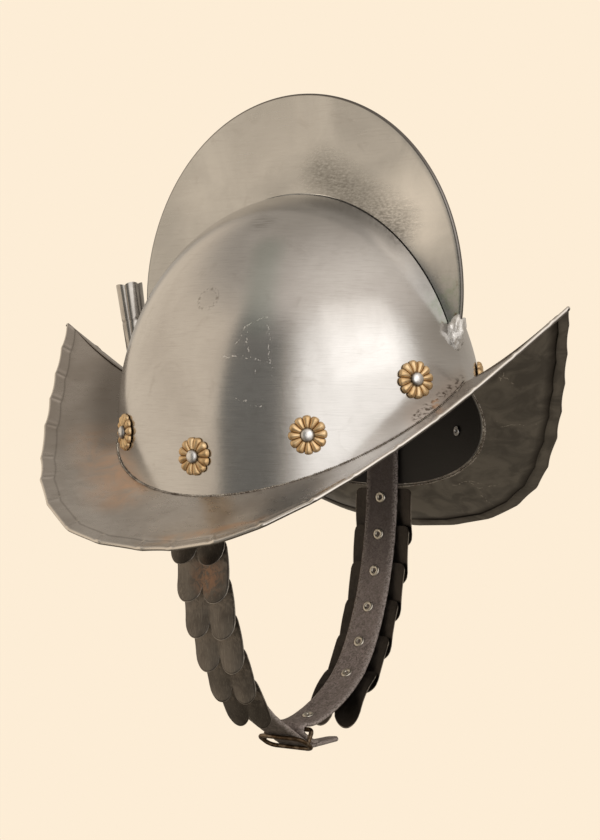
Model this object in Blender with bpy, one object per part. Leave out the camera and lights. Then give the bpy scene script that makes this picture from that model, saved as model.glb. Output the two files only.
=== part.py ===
"""A morion: a steel helmet with an upright comb, a boat-shaped brim and a scaled chin strap.

Metres, +Z up. The wearer faces -Y and the comb stands in the plane x = 0.
The origin is the middle of the head opening, at the height where the bowl is lowest, above the ears.
"""
import math
from collections import namedtuple

import bmesh
import bpy
from mathutils import Matrix, Vector

# Clearance between pieces that touch, and how far a flat facet may lie inside the true curve
GAP = 0.0003
FACET_SAG = 0.0005

# Bowl: two halves of one rounded form, pushed together so that they meet in a crease
SKULL_HALF_LENGTH = 0.122
SKULL_HALF_WIDTH = 0.099
SKULL_DOME_HEIGHT = 0.140
SKULL_DOME_START = 0.044
SKULL_CREASE_SHIFT = 0.010
SKULL_WALL = 0.0015
BASE_SIDE_Z = 0.0025
BASE_RISE = 0.0645
SKULL_STEPS_ALONG = 28
SKULL_STEPS_ACROSS = 10

# Comb: its oval edge stands a little behind the bowl's front and well above its top
COMB_CENTRE_Z = 0.121
COMB_BEHIND_BOWL_FRONT = 0.0025
COMB_ABOVE_BOWL = 0.0611
COMB_EDGE_THICKNESS = 0.0030
COMB_ROOT_THICKNESS = 0.0046
COMB_EDGE_ROUND = 0.0010
COMB_FOOT_WIDTH = 0.0025
COMB_STEPS = 32
# The comb's foot is looked for between level and this far below, by halving
COMB_FOOT_LOWEST_DEG = 60.0
COMB_FOOT_HALVINGS = 40

# Brim
BRIM_HALF_LENGTH = 0.189
BRIM_HALF_WIDTH = 0.1455
BRIM_TIP_ABOVE_BASE = 0.044
BRIM_SIDE_DROP = 0.0270
BRIM_TANGENT_STEP_DEG = 1.0
BRIM_SHEET = 0.0013
BRIM_DISH = 0.0030
BRIM_DISH_SHARE = 0.45
HEM_WIDTH = 0.0085
HEM_THICKNESS = 0.0034
HEM_LIP = 0.0002
HEM_ROUND_SHARE = 0.3
BRIM_STEPS = 56
BrimSection = namedtuple("BrimSection", "turn_deg along out rise")
# Shares of the half length, the half width and the rise from the side to the tip
BRIM_EDGE = (
    BrimSection(0, 1.000, 0.000, 1.000),
    BrimSection(15, 0.887, 0.237, 0.770),
    BrimSection(30, 0.779, 0.450, 0.565),
    BrimSection(45, 0.662, 0.655, 0.385),
    BrimSection(60, 0.507, 0.860, 0.200),
    BrimSection(75, 0.283, 0.998, 0.053),
    BrimSection(90, 0.000, 1.000, 0.000),
)

# Rosettes and their rivets, four a side
RosettePlace = namedtuple("RosettePlace", "turn_deg above_base")
ROSETTE_PLACES = (
    RosettePlace(25.0, 0.0245),
    RosettePlace(57.0, 0.0235),
    RosettePlace(90.6, 0.0225),
    RosettePlace(125.0, 0.0230),
)
ROSETTE_RADIUS = 0.0112
ROSETTE_PETALS = 12
ROSETTE_VALLEY_SHARE = 0.88
ROSETTE_THICKNESS = 0.0016
ROSETTE_RIM_THICKNESS = 0.0007
ROSETTE_CREST_SHARE = 0.62
ROSETTE_DIP_SHARE = 0.80
RivetRow = namedtuple("RivetRow", "radius height")
# Shares of the head's radius and height, from the top down
RIVET_DOME = (RivetRow(0.0, 1.00), RivetRow(0.55, 0.86), RivetRow(0.92, 0.50), RivetRow(1.0, 0.0))
RIVET_HEAD_RADIUS = 0.0040
RIVET_HEAD_HEIGHT = 0.0026
RIVET_SHANK_RADIUS = 0.0018
RIVET_FLARE_RADIUS = 0.0032
RIVET_FLARE_THICKNESS = 0.0007
RIVET_SIDES = 8

# Plume holder
HOLDER_HEIGHT = 0.055
HOLDER_ABOVE_BASE = 0.011
HOLDER_LEAN_DEG = 10.0
HOLDER_TOP_RADIUS = 0.0088
HOLDER_BOTTOM_RADIUS = 0.0073
HOLDER_WALL = 0.0011
HOLDER_FLUTES = 5
HOLDER_FLUTE_DEPTH = 0.0009
HOLDER_BAND_SHARE = 0.22
HOLDER_BAND_WIDTH = 0.0016
HOLDER_BAND_DEPTH = 0.0004
HOLDER_SIDES = 20

# Chin strap: both halves hang to one lowest point below the opening
LEATHER_THICKNESS = 0.0025
LEATHER_WIDTH = 0.024
STRAP_TOP_ABOVE_RIVET = 0.010
STRAP_FLAT_BELOW_RIVET = 0.005
LOOP_BOTTOM_Z = -0.1445
RIGHT_LOOP_FULLNESS = 1.95
LEFT_LOOP_FULLNESS = 2.20
LOOP_SWAY = 0.0030
STRAP_STEPS = 22
TONGUE_END_X = 0.041
TONGUE_NECK_WIDTH = 0.015
TONGUE_END_WIDTH = 0.009
TONGUE_BEND = 0.006
TONGUE_STEPS = 8

# Scales: two-lobed plates, one rivet each
SCALE_PITCH_RIGHT = 0.0221
SCALE_PITCH_LEFT = 0.0241
SCALE_FIRST_BELOW_BASE = 0.0085
SCALES_RIGHT = 6
SCALES_LEFT = 6
LONE_RIVET_PITCHES_ON = 2
SCALE_FIRST_WIDTH_RIGHT = 0.0390
SCALE_LAST_WIDTH_RIGHT = 0.0335
SCALE_FIRST_WIDTH_LEFT = 0.0430
SCALE_LAST_WIDTH_LEFT = 0.0395
SCALE_THICKNESS = 0.0008
SCALE_ABOVE_RIVET = 0.006
SCALE_PAST_NEXT_RIVET = 0.0084
SCALE_NOTCH = 0.009
SCALE_END_FLARE = 0.0110
SCALE_SEAT = 0.0004
SCALE_DOME = 0.0014
SCALE_ROWS = 3
SCALE_COLUMNS = 8
STRAP_RIVET_RADIUS = 0.0015
STRAP_RIVET_HEAD_RADIUS = 0.0036
STRAP_RIVET_HEAD = 0.0008
STRAP_RIVET_SIDES = 8
SCALE_RIVET_SEAT = SCALE_THICKNESS + 2 * GAP + SCALE_SEAT

# Buckle on the near end of the left strap, round the right strap's tongue
BUCKLE_X = -0.0105
TONGUE_STRAIGHT_FROM_X = -0.026
BUCKLE_LENGTH = 0.0175
BUCKLE_SIDE_CLEARANCE = 0.0030
BUCKLE_WIRE_RADIUS = 0.0015
BUCKLE_CORNER_RADIUS = 0.005
BUCKLE_CORNER_STEPS = 3
BUCKLE_WIRE_SIDES = 8
FOLD_LENGTH = 0.018
FOLD_STEPS = 6
FOLD_CLEARANCE = 0.0010
MERGE_START_X = 0.060
MERGE_STEPS = 7
# How far the merging run keeps its first and its last direction, as shares of its span
MERGE_LEAVE_SHARE = 0.36
MERGE_ARRIVE_SHARE = 0.12

# How far the tools for the rivet holes reach past what they go through
CUT_MARGIN = 0.003

# Colours as linear red, green, blue
STEEL = ((0.47, 0.45, 0.43), 0.34, 1.0)
DARK_STEEL = ((0.13, 0.12, 0.11), 0.50, 1.0)
BRASS = ((0.62, 0.40, 0.14), 0.42, 1.0)
LEATHER = ((0.075, 0.058, 0.050), 0.80, 0.0)


def clear_scene():
    for item in list(bpy.data.objects):
        bpy.data.objects.remove(item, do_unlink=True)


def material(name, look):
    colour, roughness, metallic = look
    result = bpy.data.materials.new(name)
    result.use_nodes = True
    shader = result.node_tree.nodes["Principled BSDF"]
    shader.inputs["Base Color"].default_value = (*colour, 1.0)
    shader.inputs["Roughness"].default_value = roughness
    shader.inputs["Metallic"].default_value = metallic
    return result


def add_object(name, bm, look, sharp_deg=35.0):
    """Close a bmesh into a named object with its own material."""
    bmesh.ops.recalc_face_normals(bm, faces=bm.faces)
    mesh = bpy.data.meshes.new(name)
    bm.to_mesh(mesh)
    bm.free()
    mesh.shade_smooth()
    mesh.set_sharp_from_angle(angle=math.radians(sharp_deg))
    item = bpy.data.objects.new(name, mesh)
    bpy.context.collection.objects.link(item)
    mesh.materials.append(material(name, look))
    return item


def loft(bm, rings, closed_along=False):
    """Skin a run of closed rings of equal length. Open runs get end caps."""
    rows = [[bm.verts.new(point) for point in ring] for ring in rings]
    count = len(rows[0])
    pairs = list(zip(rows, rows[1:]))
    if closed_along:
        pairs.append((rows[-1], rows[0]))
    for first, second in pairs:
        for k in range(count):
            after = (k + 1) % count
            bm.faces.new((first[k], first[after], second[after], second[k]))
    if not closed_along:
        bm.faces.new(rows[0])
        bm.faces.new(rows[-1])


def smooth_table(values, position, start_even, end_even):
    """Read a table at a fractional row, as a smooth curve with even or odd ends."""
    last = len(values) - 1
    before = values[1] if start_even else 2 * values[0] - values[1]
    beyond = values[last - 1] if end_even else 2 * values[last] - values[last - 1]
    padded = [before, *values, beyond]
    row = min(int(position), last - 1)
    t = position - row
    a, b, c, d = padded[row:row + 4]
    return 0.5 * (2 * b + (c - a) * t + (2 * a - 5 * b + 4 * c - d) * t * t
                  + (3 * b - a - 3 * c + d) * t ** 3)


class Bowl:
    """The bowl's surface, set in from its outside by a given amount."""

    def __init__(self, inset=0.0):
        self.length = SKULL_HALF_LENGTH - inset
        self.width = SKULL_HALF_WIDTH - inset
        self.height = SKULL_DOME_HEIGHT - inset
        self.wide = self.width + SKULL_CREASE_SHIFT
        self.crease = SKULL_CREASE_SHIFT / self.wide

    def place(self, unit, side):
        """A point on the surface from a direction on the unit ball; walls are upright at the foot."""
        spread = 1.0
        if unit.z < 0:
            spread = 1.0 / math.sqrt(1.0 - unit.z ** 2)
        x = max(self.wide * unit.x * spread - SKULL_CREASE_SHIFT, 0.0)
        return Vector((side * x, self.length * unit.y * spread, SKULL_DOME_START + self.height * unit.z))

    def base_unit(self, turn):
        """The direction of the lower edge at a turn from the front, 0 to pi."""
        lift = (BASE_SIDE_Z + BASE_RISE * (1.0 - math.sin(turn)) - SKULL_DOME_START) / self.height
        flat = math.sqrt(1.0 - lift ** 2)
        spread = flat if lift > 0 else 1.0
        out = self.crease + (1.0 - self.crease) * math.sin(turn)
        along = math.sqrt(max(spread ** 2 - out ** 2, 0.0))
        along = -along if turn < math.pi / 2 else along
        return Vector((out / spread * flat, along / spread * flat, lift))

    def crease_unit(self, share):
        """The direction of the crease, from the front foot over the top to the back foot."""
        round_part = math.sqrt(1.0 - self.crease ** 2)
        lift = (BASE_SIDE_Z + BASE_RISE - SKULL_DOME_START) / self.height
        foot = math.asin(lift / round_part)
        angle = foot + share * (math.pi - 2 * foot)
        return Vector((self.crease, -round_part * math.cos(angle), round_part * math.sin(angle)))

    def base_point(self, turn, side):
        return self.place(self.base_unit(turn), side)

    def side_place(self, turn_deg, above_base, side):
        """Point and outward normal on the side, a given height above the lower edge."""
        angle = math.radians(turn_deg)
        x = self.width
        for _ in range(8):
            z = BASE_SIDE_Z + BASE_RISE * (1.0 - x / self.width) + above_base
            lift = (z - SKULL_DOME_START) / self.height
            spread = math.sqrt(1.0 - lift ** 2) if lift > 0 else 1.0
            x = self.wide * spread * math.sin(angle) - SKULL_CREASE_SHIFT
        y = -self.length * spread * math.cos(angle)
        slope = Vector((side * (x + SKULL_CREASE_SHIFT) / self.wide ** 2, y / self.length ** 2,
                        max(lift, 0.0) / self.height))
        return Vector((side * x, y, z)), slope.normalized()

    def crease_radius(self, angle, centre_z):
        """Distance from a point on the middle line to the crease, along an angle from the front."""
        reach = self.length * math.sqrt(1.0 - self.crease ** 2)
        rise = self.height * math.sqrt(1.0 - self.crease ** 2)
        dy, dz = math.cos(angle), math.sin(angle)
        offset = centre_z - SKULL_DOME_START
        a = (dy / reach) ** 2 + (dz / rise) ** 2
        b = 2 * offset * dz / rise ** 2
        c = (offset / rise) ** 2 - 1.0
        return (-b + math.sqrt(b * b - 4 * a * c)) / (2 * a)


def between(first, second, share):
    """Turn from one unit direction to another along the shortest way."""
    angle = first.angle(second)
    if angle < 1e-6:
        return first.copy()
    return (first * math.sin((1 - share) * angle) + second * math.sin(share * angle)) / math.sin(angle)


def skin_rows(bm, bowl):
    """Rows of vertices over one surface: [side][along][across], sharing the crease and both feet."""
    rows = {1: [], -1: []}
    for i in range(SKULL_STEPS_ALONG + 1):
        share = i / SKULL_STEPS_ALONG
        top = bowl.crease_unit(share)
        crease_vertex = bm.verts.new(bowl.place(top, 1))
        for side in (1, -1):
            row = [crease_vertex]
            if 0 < i < SKULL_STEPS_ALONG:
                low = bowl.base_unit(share * math.pi)
                for j in range(1, SKULL_STEPS_ACROSS + 1):
                    unit = between(top, low, j / SKULL_STEPS_ACROSS)
                    row.append(bm.verts.new(bowl.place(unit, side)))
            rows[side].append(row)
    return rows


def skin_faces(bm, rows):
    for side in (1, -1):
        for first, second in zip(rows[side], rows[side][1:]):
            for j in range(SKULL_STEPS_ACROSS):
                corners = [row[min(j + step, len(row) - 1)]
                           for row, step in ((first, 0), (first, 1), (second, 1), (second, 0))]
                distinct = list(dict.fromkeys(corners))
                bm.faces.new(distinct)


def make_skull():
    bm = bmesh.new()
    outer = skin_rows(bm, Bowl())
    inner = skin_rows(bm, Bowl(SKULL_WALL))
    skin_faces(bm, outer)
    skin_faces(bm, inner)
    for side in (1, -1):
        for i in range(SKULL_STEPS_ALONG):
            bm.faces.new((outer[side][i][-1], outer[side][i + 1][-1],
                          inner[side][i + 1][-1], inner[side][i][-1]))
    return add_object("skull", bm, STEEL, 30.0)


def comb_edge_radius(bowl, angle):
    """Distance from the comb's centre to its oval edge, along an angle from the front."""
    reach = bowl.length - COMB_BEHIND_BOWL_FRONT
    height = bowl.crease_radius(math.pi / 2, COMB_CENTRE_Z) + COMB_ABOVE_BOWL
    return 1.0 / math.hypot(math.cos(angle) / reach, math.sin(angle) / height)


def comb_foot_angle(bowl):
    """The angle below level at which the crescent has narrowed to its foot."""
    low, high = -math.radians(COMB_FOOT_LOWEST_DEG), 0.0
    for _ in range(COMB_FOOT_HALVINGS):
        middle = (low + high) / 2
        width = comb_edge_radius(bowl, middle) - bowl.crease_radius(middle, COMB_CENTRE_Z) - GAP
        if width < COMB_FOOT_WIDTH:
            low = middle
        else:
            high = middle
    return high


def make_comb():
    bowl = Bowl()
    foot = comb_foot_angle(bowl)
    rings = []
    for i in range(COMB_STEPS + 1):
        angle = foot + (math.pi - 2 * foot) * i / COMB_STEPS
        edge = comb_edge_radius(bowl, angle)
        root = bowl.crease_radius(angle, COMB_CENTRE_Z) + GAP
        shoulder = edge - COMB_EDGE_ROUND
        half_edge, half_root = COMB_EDGE_THICKNESS / 2, COMB_ROOT_THICKNESS / 2
        outline = ((half_edge - COMB_EDGE_ROUND / 2, edge), (half_edge, shoulder), (half_root, root),
                   (-half_root, root), (-half_edge, shoulder), (COMB_EDGE_ROUND / 2 - half_edge, edge))
        rings.append([Vector((x, -radius * math.cos(angle), COMB_CENTRE_Z + radius * math.sin(angle)))
                      for x, radius in outline])
    bm = bmesh.new()
    loft(bm, rings)
    return add_object("comb", bm, STEEL, 50.0)


def brim_edge(turn, side):
    """Outermost point of the brim at a turn from the front, 0 to pi."""
    quarter = turn if turn <= math.pi / 2 else math.pi - turn
    position = math.degrees(quarter) / BRIM_EDGE[1].turn_deg
    along = smooth_table([row.along for row in BRIM_EDGE], position, False, False)
    out = smooth_table([row.out for row in BRIM_EDGE], position, False, True)
    rise = smooth_table([row.rise for row in BRIM_EDGE], position, False, True)
    low = BASE_SIDE_Z - BRIM_SIDE_DROP
    climb = BASE_RISE + BRIM_TIP_ABOVE_BASE + BRIM_SIDE_DROP
    y = -BRIM_HALF_LENGTH * along if turn <= math.pi / 2 else BRIM_HALF_LENGTH * along
    return Vector((side * BRIM_HALF_WIDTH * out, y, low + climb * rise))


def brim_turns():
    """The side and the turn of each section, once round from the front."""
    half = BRIM_STEPS // 2
    right = [(-1, math.pi * i / half) for i in range(half)]
    left = [(1, math.pi * (1 - i / half)) for i in range(half)]
    return right + left


def brim_section(bowl, side, turn):
    """A section through the brim: the sheet, its rolled edge and the hem folded under it."""
    step = math.radians(BRIM_TANGENT_STEP_DEG)
    inner = bowl.base_point(turn, side)
    edge = brim_edge(turn, side)
    if turn in (0.0, math.pi):
        tangent = Vector((1.0, 0.0, 0.0))
    else:
        tangent = brim_edge(turn + step, side) - brim_edge(turn - step, side)
        tangent += bowl.base_point(min(turn + step, math.pi), side) - bowl.base_point(turn - step, side)
    outward = edge - inner
    up = tangent.cross(outward).normalized()
    if up.z < 0:
        up = -up
    across = outward.normalized()
    level = Vector((across.x, across.y, 0.0)).normalized()
    width = outward.length
    clear = GAP / across.dot(level)
    roll = HEM_THICKNESS / 2
    round_off = roll * HEM_ROUND_SHARE
    lip = width - HEM_WIDTH - HEM_LIP
    outline = (
        (clear, 0.0),
        (width * BRIM_DISH_SHARE, -BRIM_DISH),
        (width - roll, 0.0),
        (width - round_off, -round_off),
        (width, -roll),
        (width - round_off, round_off - HEM_THICKNESS),
        (width - roll, -HEM_THICKNESS),
        (width - HEM_WIDTH, -HEM_THICKNESS),
        (lip, -BRIM_SHEET - BRIM_DISH * (width - lip) / (width * (1 - BRIM_DISH_SHARE))),
        (width * BRIM_DISH_SHARE, -BRIM_DISH - BRIM_SHEET),
        (clear, -BRIM_SHEET),
    )
    return [inner + across * far + up * high for far, high in outline]


def make_brim():
    bowl = Bowl()
    bm = bmesh.new()
    loft(bm, [brim_section(bowl, side, turn) for side, turn in brim_turns()], closed_along=True)
    return add_object("brim", bm, STEEL, 40.0)


def facing(point, normal, upward=Vector((0, 0, 1))):
    """A frame at a point whose Z runs along the normal and whose Y leans upward."""
    z = normal.normalized()
    x = upward.cross(z).normalized()
    y = z.cross(x)
    return Matrix.Translation(point) @ Matrix((x, y, z)).transposed().to_4x4()


def turned(bm, profile, sides):
    """Turn a profile of (radius, height) rows about Z; rows at radius 0 close to a point."""
    rows = []
    for radius, height in profile:
        if radius == 0:
            rows.append([bm.verts.new((0, 0, height))])
            continue
        rows.append([bm.verts.new((radius * math.cos(2 * math.pi * k / sides),
                                   radius * math.sin(2 * math.pi * k / sides), height))
                     for k in range(sides)])
    for first, second in zip(rows, rows[1:]):
        for k in range(sides):
            after = (k + 1) % sides
            corners = (first[k % len(first)], first[after % len(first)],
                       second[after % len(second)], second[k % len(second)])
            bm.faces.new(list(dict.fromkeys(corners)))


def cutter(name, place, radius, depth, sides):
    """A plain round cutter through the origin of a frame, along its Z."""
    bm = bmesh.new()
    turned(bm, ((0, depth), (radius, depth), (radius, -depth), (0, -depth)), sides)
    bmesh.ops.recalc_face_normals(bm, faces=bm.faces)
    mesh = bpy.data.meshes.new(name)
    bm.to_mesh(mesh)
    bm.free()
    item = bpy.data.objects.new(name, mesh)
    bpy.context.collection.objects.link(item)
    item.matrix_world = place
    item.display_type = "WIRE"
    item.hide_render = True
    return item


def cut(item, tool):
    modifier = item.modifiers.new(tool.name, "BOOLEAN")
    modifier.operation = "DIFFERENCE"
    modifier.solver = "EXACT"
    modifier.object = tool


def rosette_frames():
    """Number, side, place and frame of each rosette, right side first, front to back."""
    bowl = Bowl()
    frames = []
    for side in (-1, 1):
        for place in ROSETTE_PLACES:
            point, normal = bowl.side_place(place.turn_deg, place.above_base, side)
            frames.append((len(frames) + 1, side, place, facing(point, normal)))
    return frames


def hangs_strap(place):
    return place is ROSETTE_PLACES[2]


def make_rosette(number, frame):
    """A flower with a hole in the middle and a thin, lobed rim."""
    hole = RIVET_SHANK_RADIUS + GAP
    sides = ROSETTE_PETALS * 2
    rows = []
    bm = bmesh.new()
    for share, height in ((0.0, ROSETTE_THICKNESS * ROSETTE_DIP_SHARE),
                          (ROSETTE_CREST_SHARE, ROSETTE_THICKNESS),
                          (1.0, ROSETTE_RIM_THICKNESS), (1.0, 0.0), (0.0, 0.0)):
        row = []
        for k in range(sides):
            angle = 2 * math.pi * k / sides
            lobe = 1.0 if k % 2 == 0 else ROSETTE_VALLEY_SHARE
            radius = hole + (ROSETTE_RADIUS * (1 + share * (lobe - 1)) - hole) * share
            row.append(bm.verts.new((radius * math.cos(angle), radius * math.sin(angle), height + GAP)))
        rows.append(row)
    for first, second in zip(rows, rows[1:] + rows[:1]):
        for k in range(sides):
            after = (k + 1) % sides
            bm.faces.new((first[k], first[after], second[after], second[k]))
    item = add_object(f"rosette_{number}", bm, BRASS, 30.0)
    item.matrix_world = frame
    return item


def make_rosette_rivet(number, place, frame):
    """A domed head outside and a flared end inside, on the leather where a strap hangs."""
    seat = ROSETTE_THICKNESS + 2 * GAP
    back = -SKULL_WALL - GAP - FACET_SAG
    if hangs_strap(place):
        back -= LEATHER_THICKNESS + GAP
    dome = [(RIVET_HEAD_RADIUS * row.radius, seat + RIVET_HEAD_HEIGHT * row.height) for row in RIVET_DOME]
    end = back - RIVET_FLARE_THICKNESS
    stem = [(RIVET_SHANK_RADIUS, seat), (RIVET_SHANK_RADIUS, back), (RIVET_FLARE_RADIUS, back),
            (RIVET_FLARE_RADIUS, end), (0, end)]
    bm = bmesh.new()
    turned(bm, dome + stem, RIVET_SIDES)
    item = add_object(f"rosette_rivet_{number}", bm, STEEL, 30.0)
    item.matrix_world = frame
    return item


def make_plume_holder():
    """A fluted tube, open at both ends, that leans back from the bowl with its foot against it."""
    lean = math.radians(HOLDER_LEAN_DEG)
    length = HOLDER_HEIGHT / math.cos(lean)
    bowl = Bowl()
    bottom_z = BASE_SIDE_Z + BASE_RISE + HOLDER_ABOVE_BASE
    lift = (bottom_z - SKULL_DOME_START) / bowl.height
    wall_y = bowl.length * math.sqrt(1.0 - bowl.crease ** 2 - lift ** 2)
    foot = Vector((0, wall_y + GAP + HOLDER_BOTTOM_RADIUS / math.cos(lean), bottom_z))
    band = length * (1.0 - HOLDER_BAND_SHARE * 2)
    half_band = HOLDER_BAND_WIDTH / 2
    stations = ((0.0, 0.0), (band - half_band, 0.0), (band, HOLDER_BAND_DEPTH),
                (band + half_band, 0.0), (length, 0.0))

    def ring(height, inset):
        share = height / length
        radius = HOLDER_BOTTOM_RADIUS + (HOLDER_TOP_RADIUS - HOLDER_BOTTOM_RADIUS) * share - inset
        points = []
        for k in range(HOLDER_SIDES):
            angle = 2 * math.pi * k / HOLDER_SIDES
            valley = 0.5 - 0.5 * math.cos(HOLDER_FLUTES * (angle - math.pi / 2))
            reach = radius - HOLDER_FLUTE_DEPTH * valley * share
            points.append(Vector((reach * math.cos(angle), reach * math.sin(angle), height)))
        return points

    outside = [ring(height, inset) for height, inset in stations]
    inside = [ring(length, HOLDER_WALL), ring(0.0, HOLDER_WALL)]
    bm = bmesh.new()
    loft(bm, outside + inside, closed_along=True)
    item = add_object("plume_holder", bm, STEEL, 60.0)
    item.matrix_world = Matrix.Translation(foot) @ Matrix.Rotation(-lean, 4, "X")
    return item


def strap_rivet_z():
    return Bowl().side_place(ROSETTE_PLACES[2].turn_deg, ROSETTE_PLACES[2].above_base, 1)[0].z


def loop_size():
    """Half width of the loop, the height where it starts and its depth, at the leather's middle."""
    half_width = SKULL_HALF_WIDTH - SKULL_WALL - GAP - FACET_SAG - LEATHER_THICKNESS / 2
    start_z = strap_rivet_z() - STRAP_FLAT_BELOW_RIVET
    return half_width, start_z, start_z - LOOP_BOTTOM_Z


def hanging_points(side):
    """Middle of the leather from its top down to the bottom of the loop, as world (x, z)."""
    half_width, start_z, depth = loop_size()
    points = [(side * half_width, strap_rivet_z() + STRAP_TOP_ABOVE_RIVET)]
    power = 2.0 / (RIGHT_LOOP_FULLNESS if side < 0 else LEFT_LOOP_FULLNESS)
    for i in range(STRAP_STEPS + 1):
        angle = math.pi / 2 * i / STRAP_STEPS
        out = max(math.cos(angle), 0.0) ** power
        down = math.sin(angle) ** power
        points.append((side * half_width * out - LOOP_SWAY * down ** 2, start_z - depth * down))
    return points


def tongue_points():
    """The right strap: the hanging run, straight through the buckle, then a tongue that levels out."""
    points = [spot for spot in hanging_points(-1) if spot[0] < TONGUE_STRAIGHT_FROM_X]
    (x0, z0), (x1, z1) = points[-2:]
    slope = (z1 - z0) / (x1 - x0)
    straight_to = BUCKLE_X + BUCKLE_LENGTH / 2
    points.append((straight_to, z1 + slope * (straight_to - x1)))
    bend_from = points[-1]
    for i in range(1, TONGUE_STEPS + 1):
        share = i / TONGUE_STEPS
        level = 1.0 - (1.0 - min(share * TONGUE_END_X / TONGUE_BEND, 1.0)) ** 2
        points.append((bend_from[0] + (TONGUE_END_X - bend_from[0]) * share,
                       bend_from[1] + slope * TONGUE_BEND / 2 * level))
    return points


def along_path(points, distance):
    """Point and unit direction at a distance along a run of (x, z) points."""
    for (x0, z0), (x1, z1) in zip(points, points[1:]):
        length = math.hypot(x1 - x0, z1 - z0)
        if distance <= length:
            share = distance / length
            return (x0 + (x1 - x0) * share, z0 + (z1 - z0) * share), ((x1 - x0) / length, (z1 - z0) / length)
        distance -= length
    return points[-1], ((x1 - x0) / length, (z1 - z0) / length)


def path_distance(points, z):
    """Distance along a falling run of points at which it reaches a height."""
    total = 0.0
    for (x0, z0), (x1, z1) in zip(points, points[1:]):
        length = math.hypot(x1 - x0, z1 - z0)
        if z1 <= z:
            return total + length * (z0 - z) / (z0 - z1)
        total += length
    return total


def sweep_leather(bm, points, widths, plane_y):
    """Sweep a flat strip along (x, z) points, with mitred bends and a width for each point."""
    rings = []
    for i, (x, z) in enumerate(points):
        before = Vector(points[max(i - 1, 0)])
        after = Vector(points[min(i + 1, len(points) - 1)])
        here = Vector((x, z))
        first = (here - before).normalized() if i > 0 else (after - here).normalized()
        second = (after - here).normalized() if i < len(points) - 1 else first
        middle = (first + second).normalized()
        normal = Vector((middle.y, -middle.x)) * (LEATHER_THICKNESS / 2 / middle.dot(first))
        half = widths[i] / 2
        ring = []
        for sign, edge in ((1, -1), (1, 1), (-1, 1), (-1, -1)):
            spot = here + normal * sign
            ring.append(Vector((spot.x, plane_y + edge * half, spot.y)))
        rings.append(ring)
    loft(bm, rings)


def loop_plane_y():
    return Bowl().side_place(ROSETTE_PLACES[2].turn_deg, ROSETTE_PLACES[2].above_base, 1)[0].y


def bar_inset():
    """How far the buckle's middle bar lies inside the tongue's middle."""
    return LEATHER_THICKNESS * 1.5 + GAP + FOLD_CLEARANCE + BUCKLE_WIRE_RADIUS


def buckle_frame_place():
    """Place of the buckle on the tongue: its middle, the way along the strap and the way outward."""
    points = tongue_points()
    for (x0, z0), (x1, z1) in zip(points, points[1:]):
        if x0 <= BUCKLE_X <= x1:
            break
    along = Vector((x1 - x0, 0.0, z1 - z0)).normalized()
    outward = Vector((0, 1, 0)).cross(along)
    if outward.z > 0:
        outward = -outward
    z = z0 + (z1 - z0) * (BUCKLE_X - x0) / (x1 - x0)
    return Vector((BUCKLE_X, loop_plane_y(), z)), along, outward


def left_strap_points():
    """The left strap: the hanging run, drawn inside the tongue, then folded round the middle bar."""
    middle, along, outward = buckle_frame_place()
    bar = middle - outward * bar_inset()
    bend = BUCKLE_WIRE_RADIUS + GAP + LEATHER_THICKNESS / 2
    start = Vector((bar.x, bar.z)) - Vector((outward.x, outward.z)) * bend
    points = []
    for x, z in hanging_points(1):
        if x <= MERGE_START_X:
            break
        points.append((x, z))
    last = Vector(points[-1])
    before = Vector(points[-2])
    leave = (last - before).normalized()
    arrive = -Vector((along.x, along.z))
    span = (last - start).length
    leave_to = last + leave * span * MERGE_LEAVE_SHARE
    arrive_from = start - arrive * span * MERGE_ARRIVE_SHARE
    for i in range(1, MERGE_STEPS + 1):
        t = i / MERGE_STEPS
        s = 1 - t
        spot = last * s ** 3 + leave_to * 3 * t * s * s + arrive_from * 3 * t * t * s + start * t ** 3
        points.append((spot.x, spot.y))
    inward = -Vector((outward.x, outward.z))
    centre = Vector((bar.x, bar.z))
    for i in range(1, FOLD_STEPS + 1):
        angle = math.pi * i / FOLD_STEPS
        spot = centre + inward * bend * math.cos(angle) + arrive * bend * math.sin(angle)
        points.append((spot.x, spot.y))
    tongue = tongue_points()
    total = len([spot for spot in tongue if spot[0] < BUCKLE_X])
    before = sum(math.dist(a, b) for a, b in zip(tongue[:total], tongue[1:total])) + math.dist(
        tongue[total - 1], (middle.x, middle.z))
    for i in range(1, FOLD_STEPS + 1):
        (x, z), (dx, dz) = along_path(tongue, before + FOLD_LENGTH * i / FOLD_STEPS)
        inset = LEATHER_THICKNESS + FOLD_CLEARANCE
        points.append((x - dz * inset, z + dx * inset))
    return points


def make_strap(name, points, pointed):
    widths = [LEATHER_WIDTH] * len(points)
    if pointed:
        for i in range(TONGUE_STEPS):
            share = i / (TONGUE_STEPS - 1)
            widths[i - TONGUE_STEPS] = TONGUE_NECK_WIDTH + (TONGUE_END_WIDTH - TONGUE_NECK_WIDTH) * share
    bm = bmesh.new()
    sweep_leather(bm, points, widths, loop_plane_y())
    return add_object(name, bm, LEATHER, 40.0)


def scale_pitch(side):
    return SCALE_PITCH_RIGHT if side < 0 else SCALE_PITCH_LEFT


def scale_below_rivet(side):
    return scale_pitch(side) + SCALE_PAST_NEXT_RIVET


def rivet_frame(points, side, number):
    """Frame on the leather's outer face at a numbered rivet: Z outward, Y up the strap."""
    start = path_distance(points, BASE_SIDE_Z - SCALE_FIRST_BELOW_BASE)
    (x, z), (dx, dz) = along_path(points, start + scale_pitch(side) * number)
    outward = Vector((-side * dz, 0.0, side * dx))
    spot = Vector((x, loop_plane_y(), z)) + outward * LEATHER_THICKNESS / 2
    return facing(spot, outward, -Vector((dx, 0.0, dz)))


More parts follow.
